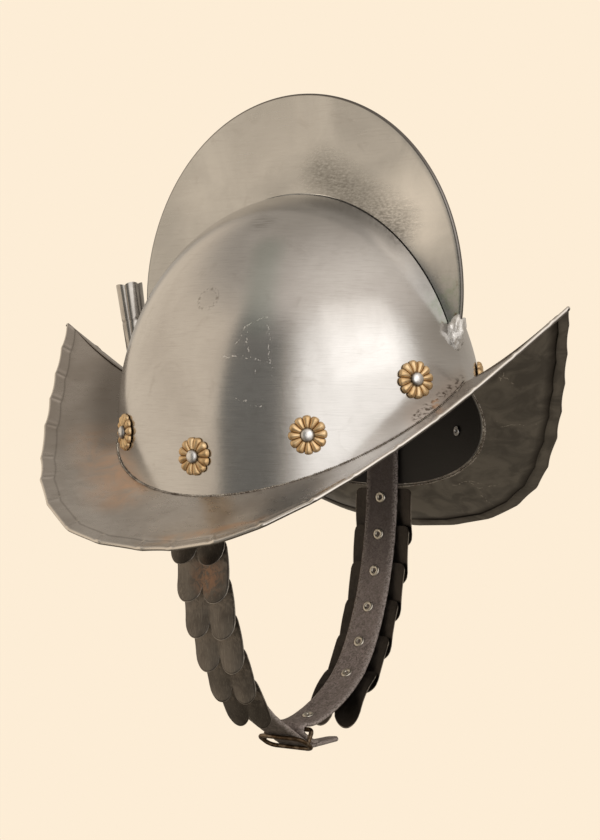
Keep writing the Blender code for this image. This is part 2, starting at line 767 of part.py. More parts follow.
def scale_lift(points, side, number):
    """How far a scale's end rises so that it clears the rim of the next rivet's head by the gap."""
    to_scale = rivet_frame(points, side, number).inverted() @ rivet_frame(points, side, number + 1)
    lifts = []
    for way in (-1, 1):
        rim = to_scale @ Vector((0, way * STRAP_RIVET_HEAD_RADIUS, SCALE_RIVET_SEAT + STRAP_RIVET_HEAD))
        lifts.append(rim.z / scale_bend(SCALE_ABOVE_RIVET - rim.y, side))
    return max(lifts)


def scale_bend(down, side):
    """Share of a scale's lift reached at a distance from its top; it starts below its own rivet."""
    starts = SCALE_ABOVE_RIVET + STRAP_RIVET_HEAD_RADIUS
    length = SCALE_ABOVE_RIVET + scale_below_rivet(side)
    return (max(down - starts, 0.0) / (length - starts)) ** 2


def scale_outline(across, side):
    """How far a scale reaches below its rivet, at a share -1 to 1 of its half width."""
    lobe = 1.0 - abs(abs(across) * 2.0 - 1.0)
    round_end = math.sqrt(max(1.0 - (1.0 - lobe) ** 2, 0.0))
    return scale_below_rivet(side) - SCALE_NOTCH * (1.0 - round_end)


def make_scale(name, side, frame, width, lift):
    """A plate with two rounded lobes, thin and slightly domed, flaring away from the leather."""
    length = SCALE_ABOVE_RIVET + scale_below_rivet(side)
    bm = bmesh.new()
    layers = []
    for top in (False, True):
        grid = []
        for i in range(SCALE_ROWS + 1):
            row = []
            for j in range(SCALE_COLUMNS + 1):
                across = 2.0 * j / SCALE_COLUMNS - 1.0
                reach = SCALE_ABOVE_RIVET + scale_outline(across, side)
                down = reach * i / SCALE_ROWS
                dome = SCALE_DOME * math.sin(math.pi * abs(across)) * (down / length)
                high = GAP + lift * scale_bend(down, side) + dome + (SCALE_THICKNESS if top else 0.0)
                row.append(bm.verts.new((across * width / 2, SCALE_ABOVE_RIVET - down, high)))
            grid.append(row)
        layers.append(grid)
    low, high = layers
    for grid in layers:
        for first, second in zip(grid, grid[1:]):
            for j in range(SCALE_COLUMNS):
                bm.faces.new((first[j], first[j + 1], second[j + 1], second[j]))

    def border(grid):
        last = SCALE_COLUMNS
        return (grid[0] + [row[last] for row in grid[1:]]
                + grid[-1][last - 1::-1] + [row[0] for row in grid[-2:0:-1]])

    rim_low, rim_high = border(low), border(high)
    for k in range(len(rim_low)):
        after = (k + 1) % len(rim_low)
        bm.faces.new((rim_low[k], rim_low[after], rim_high[after], rim_high[k]))
    item = add_object(name, bm, DARK_STEEL, 50.0)
    item.matrix_world = frame
    return item


def make_strap_rivet(name, frame, seat):
    """A tubular rivet: a flat head at a seat height and a rolled end on the inner leather."""
    back = -LEATHER_THICKNESS - GAP - FACET_SAG
    slope = STRAP_RIVET_HEAD_RADIUS - STRAP_RIVET_HEAD
    bm = bmesh.new()
    turned(bm, (
        (0, seat + STRAP_RIVET_HEAD),
        (slope, seat + STRAP_RIVET_HEAD),
        (STRAP_RIVET_HEAD_RADIUS, seat),
        (STRAP_RIVET_RADIUS, seat),
        (STRAP_RIVET_RADIUS, back),
        (STRAP_RIVET_HEAD_RADIUS, back),
        (slope, back - STRAP_RIVET_HEAD),
        (0, back - STRAP_RIVET_HEAD),
    ), STRAP_RIVET_SIDES)
    item = add_object(name, bm, STEEL, 30.0)
    item.matrix_world = frame
    return item


def rivet_hole(name, frame, pieces):
    tool = cutter(name, frame, STRAP_RIVET_RADIUS + GAP, LEATHER_THICKNESS + CUT_MARGIN, STRAP_RIVET_SIDES)
    for piece in pieces:
        cut(piece, tool)


def make_scales(side_name, side, count, widths, strap, points):
    first, last = widths
    for i in range(count):
        frame = rivet_frame(points, side, i)
        lift = scale_lift(points, side, i)
        if side > 0 and i == count - 1:
            lift = SCALE_END_FLARE
        width = first + (last - first) * i / (count - 1)
        scale = make_scale(f"scale_{side_name}_{i + 1}", side, frame, width, lift)
        rivet_hole(f"cutter_{side_name}_{i + 1}", frame, (scale, strap))
        make_strap_rivet(f"strap_rivet_{side_name}_{i + 1}", frame, SCALE_RIVET_SEAT)


def make_lone_rivet(strap, points):
    """The rivet near the buckle that holds no scale."""
    frame = rivet_frame(points, 1, SCALES_LEFT - 1 + LONE_RIVET_PITCHES_ON)
    rivet_hole("cutter_left_lone", frame, (strap,))
    make_strap_rivet(f"strap_rivet_left_{SCALES_LEFT + 1}", frame, GAP)


def wire_loop(bm, points, radius, sides, closed):
    """Sweep a round wire along points."""
    rings = []
    count = len(points)
    for i, point in enumerate(points):
        before = points[i - 1] if closed or i > 0 else point
        after = points[(i + 1) % count] if closed or i < count - 1 else point
        direction = (after - before).normalized()
        bends = Vector((0, 0, 1))
        x = bends.cross(direction).normalized()
        y = direction.cross(x)
        rings.append([point + x * radius * math.cos(2 * math.pi * k / sides)
                      + y * radius * math.sin(2 * math.pi * k / sides) for k in range(sides)])
    loft(bm, rings, closed_along=closed)


def make_buckle():
    """A rounded frame outside the tongue with its middle bar inside, cast in one piece."""
    middle, along, outward = buckle_frame_place()
    half_width = LEATHER_WIDTH / 2 + BUCKLE_SIDE_CLEARANCE + BUCKLE_WIRE_RADIUS
    half_length = BUCKLE_LENGTH / 2 - BUCKLE_WIRE_RADIUS
    corner = BUCKLE_CORNER_RADIUS
    height = LEATHER_THICKNESS / 2 + GAP + BUCKLE_WIRE_RADIUS
    outline = []
    for cx, cy, start in ((half_length - corner, half_width - corner, 0.0),
                          (corner - half_length, half_width - corner, 90.0),
                          (corner - half_length, corner - half_width, 180.0),
                          (half_length - corner, corner - half_width, 270.0)):
        for step in range(BUCKLE_CORNER_STEPS + 1):
            angle = math.radians(start + 90.0 * step / BUCKLE_CORNER_STEPS)
            outline.append(Vector((cx + corner * math.cos(angle), cy + corner * math.sin(angle), height)))
    bm = bmesh.new()
    wire_loop(bm, outline, BUCKLE_WIRE_RADIUS, BUCKLE_WIRE_SIDES, True)
    frame = add_object("buckle", bm, DARK_STEEL, 50.0)

    depth = -bar_inset()
    staple = bmesh.new()
    path = [Vector((0, half_width, height)), Vector((0, half_width, depth + BUCKLE_WIRE_RADIUS)),
            Vector((0, half_width - BUCKLE_WIRE_RADIUS, depth)),
            Vector((0, BUCKLE_WIRE_RADIUS - half_width, depth)),
            Vector((0, -half_width, depth + BUCKLE_WIRE_RADIUS)), Vector((0, -half_width, height))]
    rings = []
    for i, point in enumerate(path):
        before, after = path[max(i - 1, 0)], path[min(i + 1, len(path) - 1)]
        direction = (after - before).normalized()
        x = Vector((1, 0, 0))
        y = direction.cross(x)
        rings.append([point + x * BUCKLE_WIRE_RADIUS * math.cos(2 * math.pi * k / BUCKLE_WIRE_SIDES)
                      + y * BUCKLE_WIRE_RADIUS * math.sin(2 * math.pi * k / BUCKLE_WIRE_SIDES)
                      for k in range(BUCKLE_WIRE_SIDES)])
    loft(staple, rings)
    bar = add_object("buckle_bar_tool", staple, DARK_STEEL)
    bar.display_type = "WIRE"
    bar.hide_render = True
    join = frame.modifiers.new("middle bar", "BOOLEAN")
    join.operation = "UNION"
    join.solver = "EXACT"
    join.object = bar
    place = Matrix.Translation(middle) @ Matrix((along, Vector((0, 1, 0)), outward)).transposed().to_4x4()
    frame.matrix_world = place
    bar.matrix_world = place
    return frame


def main():
    clear_scene()
    skull = make_skull()
    make_comb()
    make_brim()
    make_plume_holder()
    right_points = tongue_points()
    left_points = left_strap_points()
    strap_right = make_strap("strap_right", right_points, True)
    strap_left = make_strap("strap_left", left_points, False)
    for number, side, place, frame in rosette_frames():
        make_rosette(number, frame)
        make_rosette_rivet(number, place, frame)
        tool = cutter(f"cutter_rosette_{number}", frame, RIVET_SHANK_RADIUS + GAP,
                      SKULL_WALL + LEATHER_THICKNESS + CUT_MARGIN, RIVET_SIDES)
        cut(skull, tool)
        if hangs_strap(place):
            cut(strap_right if side < 0 else strap_left, tool)
    right_widths = (SCALE_FIRST_WIDTH_RIGHT, SCALE_LAST_WIDTH_RIGHT)
    left_widths = (SCALE_FIRST_WIDTH_LEFT, SCALE_LAST_WIDTH_LEFT)
    make_scales("right", -1, SCALES_RIGHT, right_widths, strap_right, right_points)
    make_scales("left", 1, SCALES_LEFT, left_widths, strap_left, left_points)
    make_lone_rivet(strap_left, left_points)
    make_buckle()


main()
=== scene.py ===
"""The looks of a morion: satin steel bowl, comb and brim, gilt rosettes and a scaled chin strap."""
import math
import random
from collections import namedtuple

import bmesh
import bpy
from mathutils import Matrix, Vector, noise
from mathutils.bvhtree import BVHTree


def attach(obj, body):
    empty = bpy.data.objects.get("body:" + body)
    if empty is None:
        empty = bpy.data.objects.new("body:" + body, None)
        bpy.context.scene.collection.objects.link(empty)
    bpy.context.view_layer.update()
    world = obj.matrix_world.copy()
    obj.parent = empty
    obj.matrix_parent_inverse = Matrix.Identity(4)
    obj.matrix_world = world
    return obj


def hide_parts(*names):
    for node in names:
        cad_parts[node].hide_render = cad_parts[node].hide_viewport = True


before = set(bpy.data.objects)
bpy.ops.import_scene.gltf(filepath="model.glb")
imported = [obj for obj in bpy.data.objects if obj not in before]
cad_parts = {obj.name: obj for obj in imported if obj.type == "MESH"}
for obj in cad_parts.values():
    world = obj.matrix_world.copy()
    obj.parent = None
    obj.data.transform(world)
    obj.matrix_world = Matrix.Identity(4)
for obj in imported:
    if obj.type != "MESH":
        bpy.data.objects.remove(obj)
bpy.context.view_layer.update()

# Sizes in metres, as the solids have them
GAP = 0.0003
FACET_SAG = 0.0005
SKULL_HALF_LENGTH = 0.122
SKULL_HALF_WIDTH = 0.099
SKULL_DOME_HEIGHT = 0.140
SKULL_DOME_START = 0.044
SKULL_CREASE_SHIFT = 0.010
SKULL_WALL = 0.0015
BASE_SIDE_Z = 0.0025
BASE_RISE = 0.0645
COMB_CENTRE_Z = 0.121
COMB_BEHIND_BOWL_FRONT = 0.0025
COMB_ABOVE_BOWL = 0.0611
COMB_EDGE_THICKNESS = 0.0030
COMB_ROOT_THICKNESS = 0.0046
COMB_FOOT_WIDTH = 0.0025
BRIM_HALF_LENGTH = 0.189
BRIM_HALF_WIDTH = 0.1455
BRIM_TIP_Z = 0.111
BRIM_SIDE_DROP = 0.0270
BRIM_SHEET = 0.0013
BRIM_DISH = 0.0030
HEM_WIDTH = 0.0085
HEM_THICKNESS = 0.0034
# Shares of the half length, the half width and the rise, every 15 degrees from the front to the side
EDGE_ALONG = (1.000, 0.887, 0.779, 0.662, 0.507, 0.283, 0.000)
EDGE_OUT = (0.000, 0.237, 0.450, 0.655, 0.860, 0.998, 1.000)
EDGE_RISE = (1.000, 0.770, 0.565, 0.385, 0.200, 0.053, 0.000)
EDGE_ROW_DEG = 15.0
# Turn from the front in degrees and height above the lower edge
ROSETTE_PLACES = ((25.0, 0.0245), (57.0, 0.0235), (90.6, 0.0225), (125.0, 0.0230))
STRAP_PLACE = ROSETTE_PLACES[2]
ROSETTE_RADIUS = 0.0112
ROSETTE_THICKNESS = 0.0016
PETALS = 12
RIVET_HEAD_RADIUS = 0.0040
RIVET_HEAD_HEIGHT = 0.0026
RIVET_SHANK_RADIUS = 0.0018
RIVET_FLARE_RADIUS = 0.0032
RIVET_FLARE_THICKNESS = 0.0007
HOLDER_TOP_Z = 0.133
HOLDER_BOTTOM_Z = 0.078
HOLDER_LEAN_DEG = 10.0
HOLDER_TOP_RADIUS = 0.0088
HOLDER_BOTTOM_RADIUS = 0.0073
HOLDER_WALL = 0.0011
HOLDER_FLUTES = 5
HOLDER_FLUTE_DEPTH = 0.0009
HOLDER_BAND_SHARE = 0.22
LEATHER_THICKNESS = 0.0025
LEATHER_WIDTH = 0.024
STRAP_TOP_ABOVE_RIVET = 0.010
STRAP_FLAT_BELOW_RIVET = 0.005
LOOP_BOTTOM_Z = -0.1445
RIGHT_LOOP_FULLNESS = 1.95
LEFT_LOOP_FULLNESS = 2.20
LOOP_SWAY = 0.0030
TONGUE_END_X = 0.041
TONGUE_NECK_WIDTH = 0.015
TONGUE_END_WIDTH = 0.009
TONGUE_BEND = 0.006
TONGUE_STEPS = 8
SCALE_PITCH_RIGHT = 0.0221
SCALE_PITCH_LEFT = 0.0241
SCALE_FIRST_BELOW_BASE = 0.0085
SCALES = 6
LONE_RIVET_PITCHES_ON = 2
# Width of the first and of the last scale, right side and left side
SCALE_WIDTHS_RIGHT = (0.0390, 0.0335)
SCALE_WIDTHS_LEFT = (0.0430, 0.0395)
SCALE_THICKNESS = 0.0008
SCALE_ABOVE_RIVET = 0.006
SCALE_PAST_NEXT_RIVET = 0.0084
SCALE_NOTCH = 0.009
SCALE_END_FLARE = 0.0110
SCALE_SEAT = 0.0004
SCALE_DOME = 0.0014
SCALE_CORNER = 0.0045
STRAP_RIVET_RADIUS = 0.0015
STRAP_RIVET_HEAD_RADIUS = 0.0036
STRAP_RIVET_HEAD = 0.0008
BUCKLE_X = -0.0105
TONGUE_STRAIGHT_FROM_X = -0.026
BUCKLE_LENGTH = 0.0175
BUCKLE_SIDE_CLEARANCE = 0.0030
BUCKLE_WIRE_RADIUS = 0.0015
BUCKLE_CORNER_RADIUS = 0.005
FOLD_LENGTH = 0.018
FOLD_CLEARANCE = 0.0010
MERGE_START_X = 0.060
MERGE_LEAVE_SHARE = 0.36
MERGE_ARRIVE_SHARE = 0.12

# Hem creases, in metres along the brim's edge
CREASE_SPACING = 0.029
CREASE_JITTER = 0.004
CREASE_RIDGE = 0.0005
CREASE_HALF_WIDTH = 0.0013
CREASE_SLANT = 0.40
CREASE_CHORD = 0.0011
HEM_BAND_DIP = 0.0006
CREASE_SEED = 11
BRIM_STEP = 0.0009

# The photograph's frame and the camera that saw it
PHOTO_WIDTH = 600
PHOTO_HEIGHT = 840
FOCAL_PIXELS = 2120.0
SENSOR = 36.0
CAMERA_TURN_DEG = 36.0
CAMERA_RISE_DEG = 0.5
CAMERA_ROLL_DEG = -0.25
CAMERA_DISTANCE = 1.300
AIM_Z = 0.045
AIM_PIXEL_X = 297.5
FLOOR_Z = -0.34

# Marks: pixels of the photograph, and how far from them a mark is full and gone
Mark = namedtuple("Mark", "spots full gone")
SCRATCH_FULL = 0.0001
BOWL_SCRATCH_GONE = 0.00045
BOWL_SCRATCHES = (
    ((233, 348), (240, 337), (246, 326), (255, 321), (268, 316)),
    ((247, 325), (248, 335), (247, 345), (250, 358)),
    ((222, 357), (240, 356), (258, 360), (271, 364)),
    ((268, 325), (270, 335), (268, 350), (271, 362), (273, 378)),
    ((254, 360), (256, 375)),
    ((232, 395), (240, 402), (247, 400), (250, 406), (262, 405)),
)
SCUFFED = Mark(((255, 345),), 0.006, 0.024)
COOL_BAND = Mark(((268, 250), (258, 320)), 0.002, 0.016)
TOP_SMUDGE = Mark(((262, 222),), 0.002, 0.014)
JOINT_SCORCH = Mark(((416, 416), (430, 406), (446, 393), (462, 381)), 0.0012, 0.0046)
JOINT_TINT = Mark(JOINT_SCORCH.spots, 0.002, 0.012)
COPPER_SPOT = Mark(((436, 404),), 0.001, 0.0045)
COMB_FOOT_SHADE = Mark(((446, 330),), 0.004, 0.026)
RING_STAIN = (208, 299)
RING_INSIDE = (0.0050, 0.0064)
RING_OUTSIDE = (0.0084, 0.0070)
RING_MIDDLE = (0.0070, 0.0040)
# painted highlight: a bright patch standing in for a reflection on the comb
COMB_PAINTED_HIGHLIGHT = Mark(((414, 214),), 0.006, 0.040)
COMB_SMEAR = Mark(((322, 172), (396, 226)), 0.001, 0.023)
COMB_PALE_BAND = Mark(((200, 190), (290, 130)), 0.010, 0.036)
COMB_FOOT_RUST = Mark(((447, 300), (452, 316)), 0.003, 0.020)
BRIM_COPPER = Mark(((104, 440), (122, 492)), 0.002, 0.030)
# darker beside the joint with the bowl
BRIM_JOINT_DARKENING = Mark(((118, 372), (112, 400), (113, 440)), 0.004, 0.022)
BRIM_TAN = Mark(((165, 539), (262, 518)), 0.001, 0.008)
# Scratches under the brim's far side
BRIM_SCRATCH_GONE = 0.0005
BRIM_SCRATCHES = (
    ((452, 486), (468, 481), (482, 484)),
    ((462, 478), (480, 488), (502, 484)),
    ((492, 358), (500, 372), (514, 384)),
    ((484, 428), (512, 425), (540, 424)),
    ((480, 492), (492, 505)),
)
# Rust under the right strap's first scale, and how far round it reaches
SCALE_RUST_X = -0.092
SCALE_RUST_FORWARD = 0.004
SCALE_RUST_Z = -0.044
SCALE_RUST_FULL = 0.003
SCALE_RUST_GONE = 0.016

# Brush lines: how finely they run along each way
BOWL_BRUSH = (80.0, 80.0, 2000.0)
COMB_BRUSH = (300.0, 60.0, 900.0)
BRIM_BRUSH = (90.0, 90.0, 500.0)
HOLDER_BRUSH = (700.0, 700.0, 60.0)

# The studio: a plain room with a warm panel at the left, a dark gap and a bright panel ahead
CREAM = (0.983, 0.847, 0.672)
WALL = (0.45, 0.40, 0.34)
DIM_CEILING = (0.45, 0.40, 0.34)
BRIGHT_CEILING = (0.90, 0.81, 0.72)
GROUND = (0.20, 0.17, 0.13)
# Turn of the middle from the camera's side, half width and soft edge in degrees, and colour
LEFT_PANEL = (-108, 44, 8, (0.80, 0.68, 0.54))
DARK_GAP = (-44, 14, 6, (0.20, 0.19, 0.17))
FRONT_PANEL = (22, 30, 18, (1.40, 1.33, 1.25))
BRIGHT_CEILING_TURN_DEG = 30.0
# Where each fade starts and ends, as shares of the way from level to straight up
BRIGHT_CEILING_FADE = (-0.35, 0.60)
CEILING_FADE = (0.50, 0.82)
GROUND_FADE = (-0.25, -0.62)
KEY_TURN_DEG = 25.0
KEY_RISE_DEG = 35.0
KEY_DISTANCE = 2.0
KEY_WIDTH = 1.5
KEY_HEIGHT = 1.2
KEY_POWER = 2.0
KEY_COLOUR = (1.0, 0.97, 0.93)
KEY_AIM_Z = 0.06
FLOOR_RADIUS = 9.0
FLOOR_SIDES = 96


# Working with nodes

class Value:
    """A node's output that ordinary arithmetic can be written on."""

    def __init__(self, graph, socket):
        self.graph = graph
        self.socket = socket

    def maths(self, operation, first, second):
        return self.graph.node("ShaderNodeMath", {"operation": operation}, {0: first, 1: second})

    def __add__(self, other):
        return self.maths("ADD", self, other)

    def __radd__(self, other):
        return self.maths("ADD", other, self)

    def __sub__(self, other):
        return self.maths("SUBTRACT", self, other)

    def __rsub__(self, other):
        return self.maths("SUBTRACT", other, self)

    def __mul__(self, other):
        return self.maths("MULTIPLY", self, other)

    def __rmul__(self, other):
        return self.maths("MULTIPLY", other, self)

    def __truediv__(self, other):
        return self.maths("DIVIDE", self, other)

    def __rtruediv__(self, other):
        return self.maths("DIVIDE", other, self)

    def __pow__(self, other):
        return self.maths("POWER", self, other)

    def __rpow__(self, other):
        return self.maths("POWER", other, self)


class Graph:
    """A node tree with one method that adds any node and a few short names for common ones."""

    def __init__(self, tree):
        self.tree = tree

    def node(self, kind, settings=None, inputs=None, output=0):
        node = self.tree.nodes.new(kind)
        for name, value in (settings or {}).items():
            setattr(node, name, value)
        for key, value in (inputs or {}).items():
            if isinstance(value, Value):
                self.tree.links.new(value.socket, node.inputs[key])
            else:
                node.inputs[key].default_value = value
        return Value(self, node.outputs[output])

    def place(self):
        return self.node("ShaderNodeTexCoord", output="Object")

    def stretch(self, vector, scale, turn_deg=(0, 0, 0)):
        turn = [math.radians(angle) for angle in turn_deg]
        return self.node("ShaderNodeMapping", inputs={"Vector": vector, "Scale": scale, "Rotation": turn})

    def grain(self, vector, scale, detail=2.0, roughness=0.5, twist=0.0):
        """Noise between 0 and 1."""
        return self.node("ShaderNodeTexNoise", inputs={"Vector": vector, "Scale": scale, "Detail": detail,
                                                       "Roughness": roughness, "Distortion": twist})

    def rise(self, value, low, high, to_low=0.0, to_high=1.0):
        """A smooth climb from one level to another."""
        levels = {"Value": value, "From Min": low, "From Max": high, "To Min": to_low, "To Max": to_high}
        return self.node("ShaderNodeMapRange", {"interpolation_type": "SMOOTHSTEP"}, levels)

    def mix(self, share, first, second):
        """Blend two colours."""
        wide = {name: value if isinstance(value, Value) else (*value, 1.0)
                for name, value in ((6, first), (7, second))}
        return self.node("ShaderNodeMix", {"data_type": "RGBA"}, {0: share, **wide}, output=2)

    def axis(self, vector, index):
        return self.node("ShaderNodeSeparateXYZ", inputs={0: vector}, output=index)

    def attribute(self, name):
        return self.node("ShaderNodeAttribute", {"attribute_name": name}, output="Fac")

    def vector(self, operation, first, second=(0.0, 0.0, 0.0), output="Vector"):
        return self.node("ShaderNodeVectorMath", {"operation": operation},
                         {0: first, 1: second if isinstance(second, Value) else tuple(second)}, output)

    def off_line(self, place, start, end):
        """Distance from a straight line between two points."""
        way = end - start
        here = self.vector("SUBTRACT", place, start)
        along = self.vector("DOT_PRODUCT", here, way / way.length_squared, "Value")
        share = self.node("ShaderNodeClamp", inputs={"Value": along})
        nearest = self.node("ShaderNodeVectorMath", {"operation": "SCALE"}, {0: tuple(way), "Scale": share})
        return self.vector("DISTANCE", here, nearest, "Value")

    def bump(self, height, distance, strength=1.0, onto=None):
        inputs = {"Height": height, "Distance": distance, "Strength": strength}
        if onto is not None:
            inputs["Normal"] = onto
        return self.node("ShaderNodeBump", inputs=inputs)


def new_material(name):
    """An empty Principled material, its graph and its shader."""
    material = bpy.data.materials.new(name)
    material.use_nodes = True
    return material, Graph(material.node_tree), material.node_tree.nodes["Principled BSDF"]


def wire(graph, shader, **sockets):
    """Connect values to the shader, or set them there when they're plain."""
    for name, value in sockets.items():
        socket = shader.inputs[name.replace("_", " ").title()]
        if isinstance(value, Value):
            graph.tree.links.new(value.socket, socket)
        else:
            socket.default_value = value


# Working with meshes

SHARP_DEG = 40.0
SAME_PLACE = 1e-6
NO_LENGTH = 1e-7


def placed(name, data):
    """A new object in the scene that holds some data."""
    item = bpy.data.objects.new(name, data)
    bpy.context.collection.objects.link(item)
    return item


def mesh_object(name, points, faces, material):
    mesh = bpy.data.meshes.new(name)
    mesh.from_pydata([tuple(point) for point in points], [], faces)
    mesh.materials.append(material)
    return placed(name, mesh)


def store(item, label, values):
    """Keep one number for each point of a mesh, for its finish to read."""
    item.data.attributes.new(label, "FLOAT", "POINT").data.foreach_set("value", values)


def shade(item, sharp_deg):
    """Shade smooth but for real edges."""
    item.data.shade_smooth()
    item.data.set_sharp_from_angle(angle=math.radians(sharp_deg))


def tidy_faces(item, sharp_deg):
    """Merge doubles, point the faces outwards and shade smooth but for real edges."""
    bm = bmesh.new()
    bm.from_mesh(item.data)
    bmesh.ops.remove_doubles(bm, verts=bm.verts, dist=SAME_PLACE)
    bmesh.ops.dissolve_degenerate(bm, edges=bm.edges, dist=NO_LENGTH)
    bmesh.ops.recalc_face_normals(bm, faces=bm.faces)
    bm.to_mesh(item.data)
    bm.free()
    shade(item, sharp_deg)
    return item


def ring_faces(ring_count, point_count, closed_along):
    """Quads between rings of points, with flat caps where the run is open."""
    faces = []
    for i in range(ring_count if closed_along else ring_count - 1):
        first, second = i * point_count, (i + 1) % ring_count * point_count
        for k in range(point_count):
            after = (k + 1) % point_count
            faces.append((first + k, first + after, second + after, second + k))
    if not closed_along:
        faces.append(tuple(range(point_count)))
        faces.append(tuple(range((ring_count - 1) * point_count, ring_count * point_count)))
    return faces


def lofted(name, rings, material, closed_along=False, sharp_deg=SHARP_DEG, attributes=None):
    """Skin rings of points; attributes hold one number for each point."""
    points = [point for ring in rings for point in ring]
    item = mesh_object(name, points, ring_faces(len(rings), len(rings[0]), closed_along), material)
    for label, values in (attributes or {}).items():
        store(item, label, [value for ring in values for value in ring])
    return tidy_faces(item, sharp_deg)


RIVET_SIDES = 24


def turned_shape(name, profile, painted_shade, material):
    """Turn (radius, height) rows about Z, from axis to axis; the shade list holds the share of painted shade
    for each row.
    """
    points, rows = [], []
    for radius, height in profile:
        count = 1 if radius == 0 else RIVET_SIDES
        rows.append([len(points) + k for k in range(count)])
        for k in range(count):
            turn = 2 * math.pi * k / RIVET_SIDES
            points.append((radius * math.cos(turn), radius * math.sin(turn), height))
    faces = []
    for first, second in zip(rows, rows[1:]):
        for k in range(RIVET_SIDES):
            after = (k + 1) % RIVET_SIDES
            corners = (first[k % len(first)], first[after % len(first)],
                       second[after % len(second)], second[k % len(second)])
            faces.append(tuple(dict.fromkeys(corners)))
    item = mesh_object(name, points, faces, material)
    store(item, "painted_shade", [share for row, share in zip(rows, painted_shade) for _ in row])
    return tidy_faces(item, SHARP_DEG)


def lump(name, subdivisions, reshape, material):
    """A unit ball with each of its points moved by a function."""
    bm = bmesh.new()
    bmesh.ops.create_icosphere(bm, subdivisions=subdivisions, radius=1.0)
    for vertex in bm.verts:
        vertex.co = reshape(vertex.co.copy())
    mesh = bpy.data.meshes.new(name)
    bm.to_mesh(mesh)
    bm.free()
    mesh.shade_smooth()
    mesh.materials.append(material)
    return placed(name, mesh)


def joined(name, items):
    """Join objects into one mesh in world place and drop them."""
    bm = bmesh.new()
    for item in items:
        copy = item.data.copy()
        copy.transform(item.matrix_world)
        bm.from_mesh(copy)
        bpy.data.meshes.remove(copy)
    mesh = bpy.data.meshes.new(name)
    bm.to_mesh(mesh)
    bm.free()
    mesh.materials.append(items[0].data.materials[0])
    for item in items:
        bpy.data.objects.remove(item)
    return placed(name, mesh)


def dress(item, slot, *nodes):
    """Give a finished piece to the frame: it rides on the helmet and stands for the named nodes."""
    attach(item, "root")
    if nodes:
        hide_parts(*nodes)


# Repeats by Geometry Nodes

def open_tree(name, inputs):
    """A Geometry Nodes tree with named inputs; returns its graph and its inputs as values."""
    tree = bpy.data.node_groups.new(name, "GeometryNodeTree")
    tree.interface.new_socket("Geometry", in_out="INPUT", socket_type="NodeSocketGeometry")
    for label, kind in inputs:
        tree.interface.new_socket(label, in_out="INPUT", socket_type=kind)
    tree.interface.new_socket("Geometry", in_out="OUTPUT", socket_type="NodeSocketGeometry")
    graph = Graph(tree)
    entry = tree.nodes.new("NodeGroupInput")
    return graph, {socket.name: Value(graph, socket) for socket in entry.outputs if socket.name}


def close_tree(graph, geometry, material):
    solid = graph.node("GeometryNodeRealizeInstances", inputs={"Geometry": geometry})
    finished = graph.node("GeometryNodeSetMaterial", inputs={"Geometry": solid, "Material": material})
    leave = graph.tree.nodes.new("NodeGroupOutput")
    graph.tree.links.new(finished.socket, leave.inputs["Geometry"])
    return graph.tree


def grow(name, base, tree, material, values, spare=()):
    """Run a tree on a base object, keep the result as a plain mesh and drop the base and the spares."""
    modifier = base.modifiers.new(name, "NODES")
    modifier.node_group = tree
    settings = {"Material": material, **values}
    for socket in tree.interface.items_tree:
        if socket.in_out == "INPUT" and socket.name in settings:
            modifier[socket.identifier] = settings[socket.name]
    graph = bpy.context.evaluated_depsgraph_get()
    mesh = bpy.data.meshes.new_from_object(base.evaluated_get(graph))
    base.modifiers.remove(modifier)
    mesh.name = name
    item = placed(name, mesh)
    for extra in (base, *spare):
        bpy.data.objects.remove(extra)
    return item


def petal_tree():
    """Copies of one petal turned evenly about Z."""
    graph, given = open_tree("Petals round a middle", (
        ("Petal", "NodeSocketObject"), ("Petals", "NodeSocketInt"), ("Material", "NodeSocketMaterial")))
    petal = graph.node("GeometryNodeObjectInfo", inputs={"Object": given["Petal"]}, output="Geometry")
    line = graph.node("GeometryNodeMeshLine", inputs={"Count": given["Petals"], "Offset": (0, 0, 0)})
    turn = graph.node("GeometryNodeInputIndex") * (2 * math.pi) / given["Petals"]
    rotation = graph.node("ShaderNodeCombineXYZ", inputs={"Z": turn})
    copies = graph.node("GeometryNodeInstanceOnPoints",
                        inputs={"Points": line, "Instance": petal, "Rotation": rotation})
    return close_tree(graph, copies, given["Material"])


def frames_tree():
    """Copies of one part on points, each turned by the angles stored on its point."""
    graph, given = open_tree("Parts on frames", (
        ("Part", "NodeSocketObject"), ("Material", "NodeSocketMaterial")))
    part = graph.node("GeometryNodeObjectInfo", inputs={"Object": given["Part"]}, output="Geometry")
    turn = graph.node("GeometryNodeInputNamedAttribute", {"data_type": "FLOAT_VECTOR"}, {"Name": "turn"})
    copies = graph.node("GeometryNodeInstanceOnPoints",
                        inputs={"Points": given["Geometry"], "Instance": part, "Rotation": turn})
    return close_tree(graph, copies, given["Material"])


DROP_TURN = 6.28


def bead_tree():
    """Uneven drops along a path, as a hand weld leaves them."""
    graph, given = open_tree("Weld drops on a path", (
        ("Drop", "NodeSocketObject"), ("Spacing", "NodeSocketFloat"), ("Smallest", "NodeSocketFloat"),
        ("Largest", "NodeSocketFloat"), ("Seed", "NodeSocketInt"), ("Material", "NodeSocketMaterial")))
    drop = graph.node("GeometryNodeObjectInfo", inputs={"Object": given["Drop"]}, output="Geometry")
    points = graph.node("GeometryNodeCurveToPoints", {"mode": "LENGTH"},
                        {"Curve": given["Geometry"], "Length": given["Spacing"]})
    turn = graph.node("FunctionNodeRandomValue", {"data_type": "FLOAT_VECTOR"},
                      {"Min": (0, 0, 0), "Max": (DROP_TURN, DROP_TURN, DROP_TURN), "Seed": given["Seed"]})
    size = graph.node("FunctionNodeRandomValue", {"data_type": "FLOAT"},
                      {2: given["Smallest"], 3: given["Largest"], "Seed": given["Seed"]}, output=1)
    copies = graph.node("GeometryNodeInstanceOnPoints",
                        inputs={"Points": points, "Instance": drop, "Rotation": turn, "Scale": size})
    return close_tree(graph, copies, given["Material"])


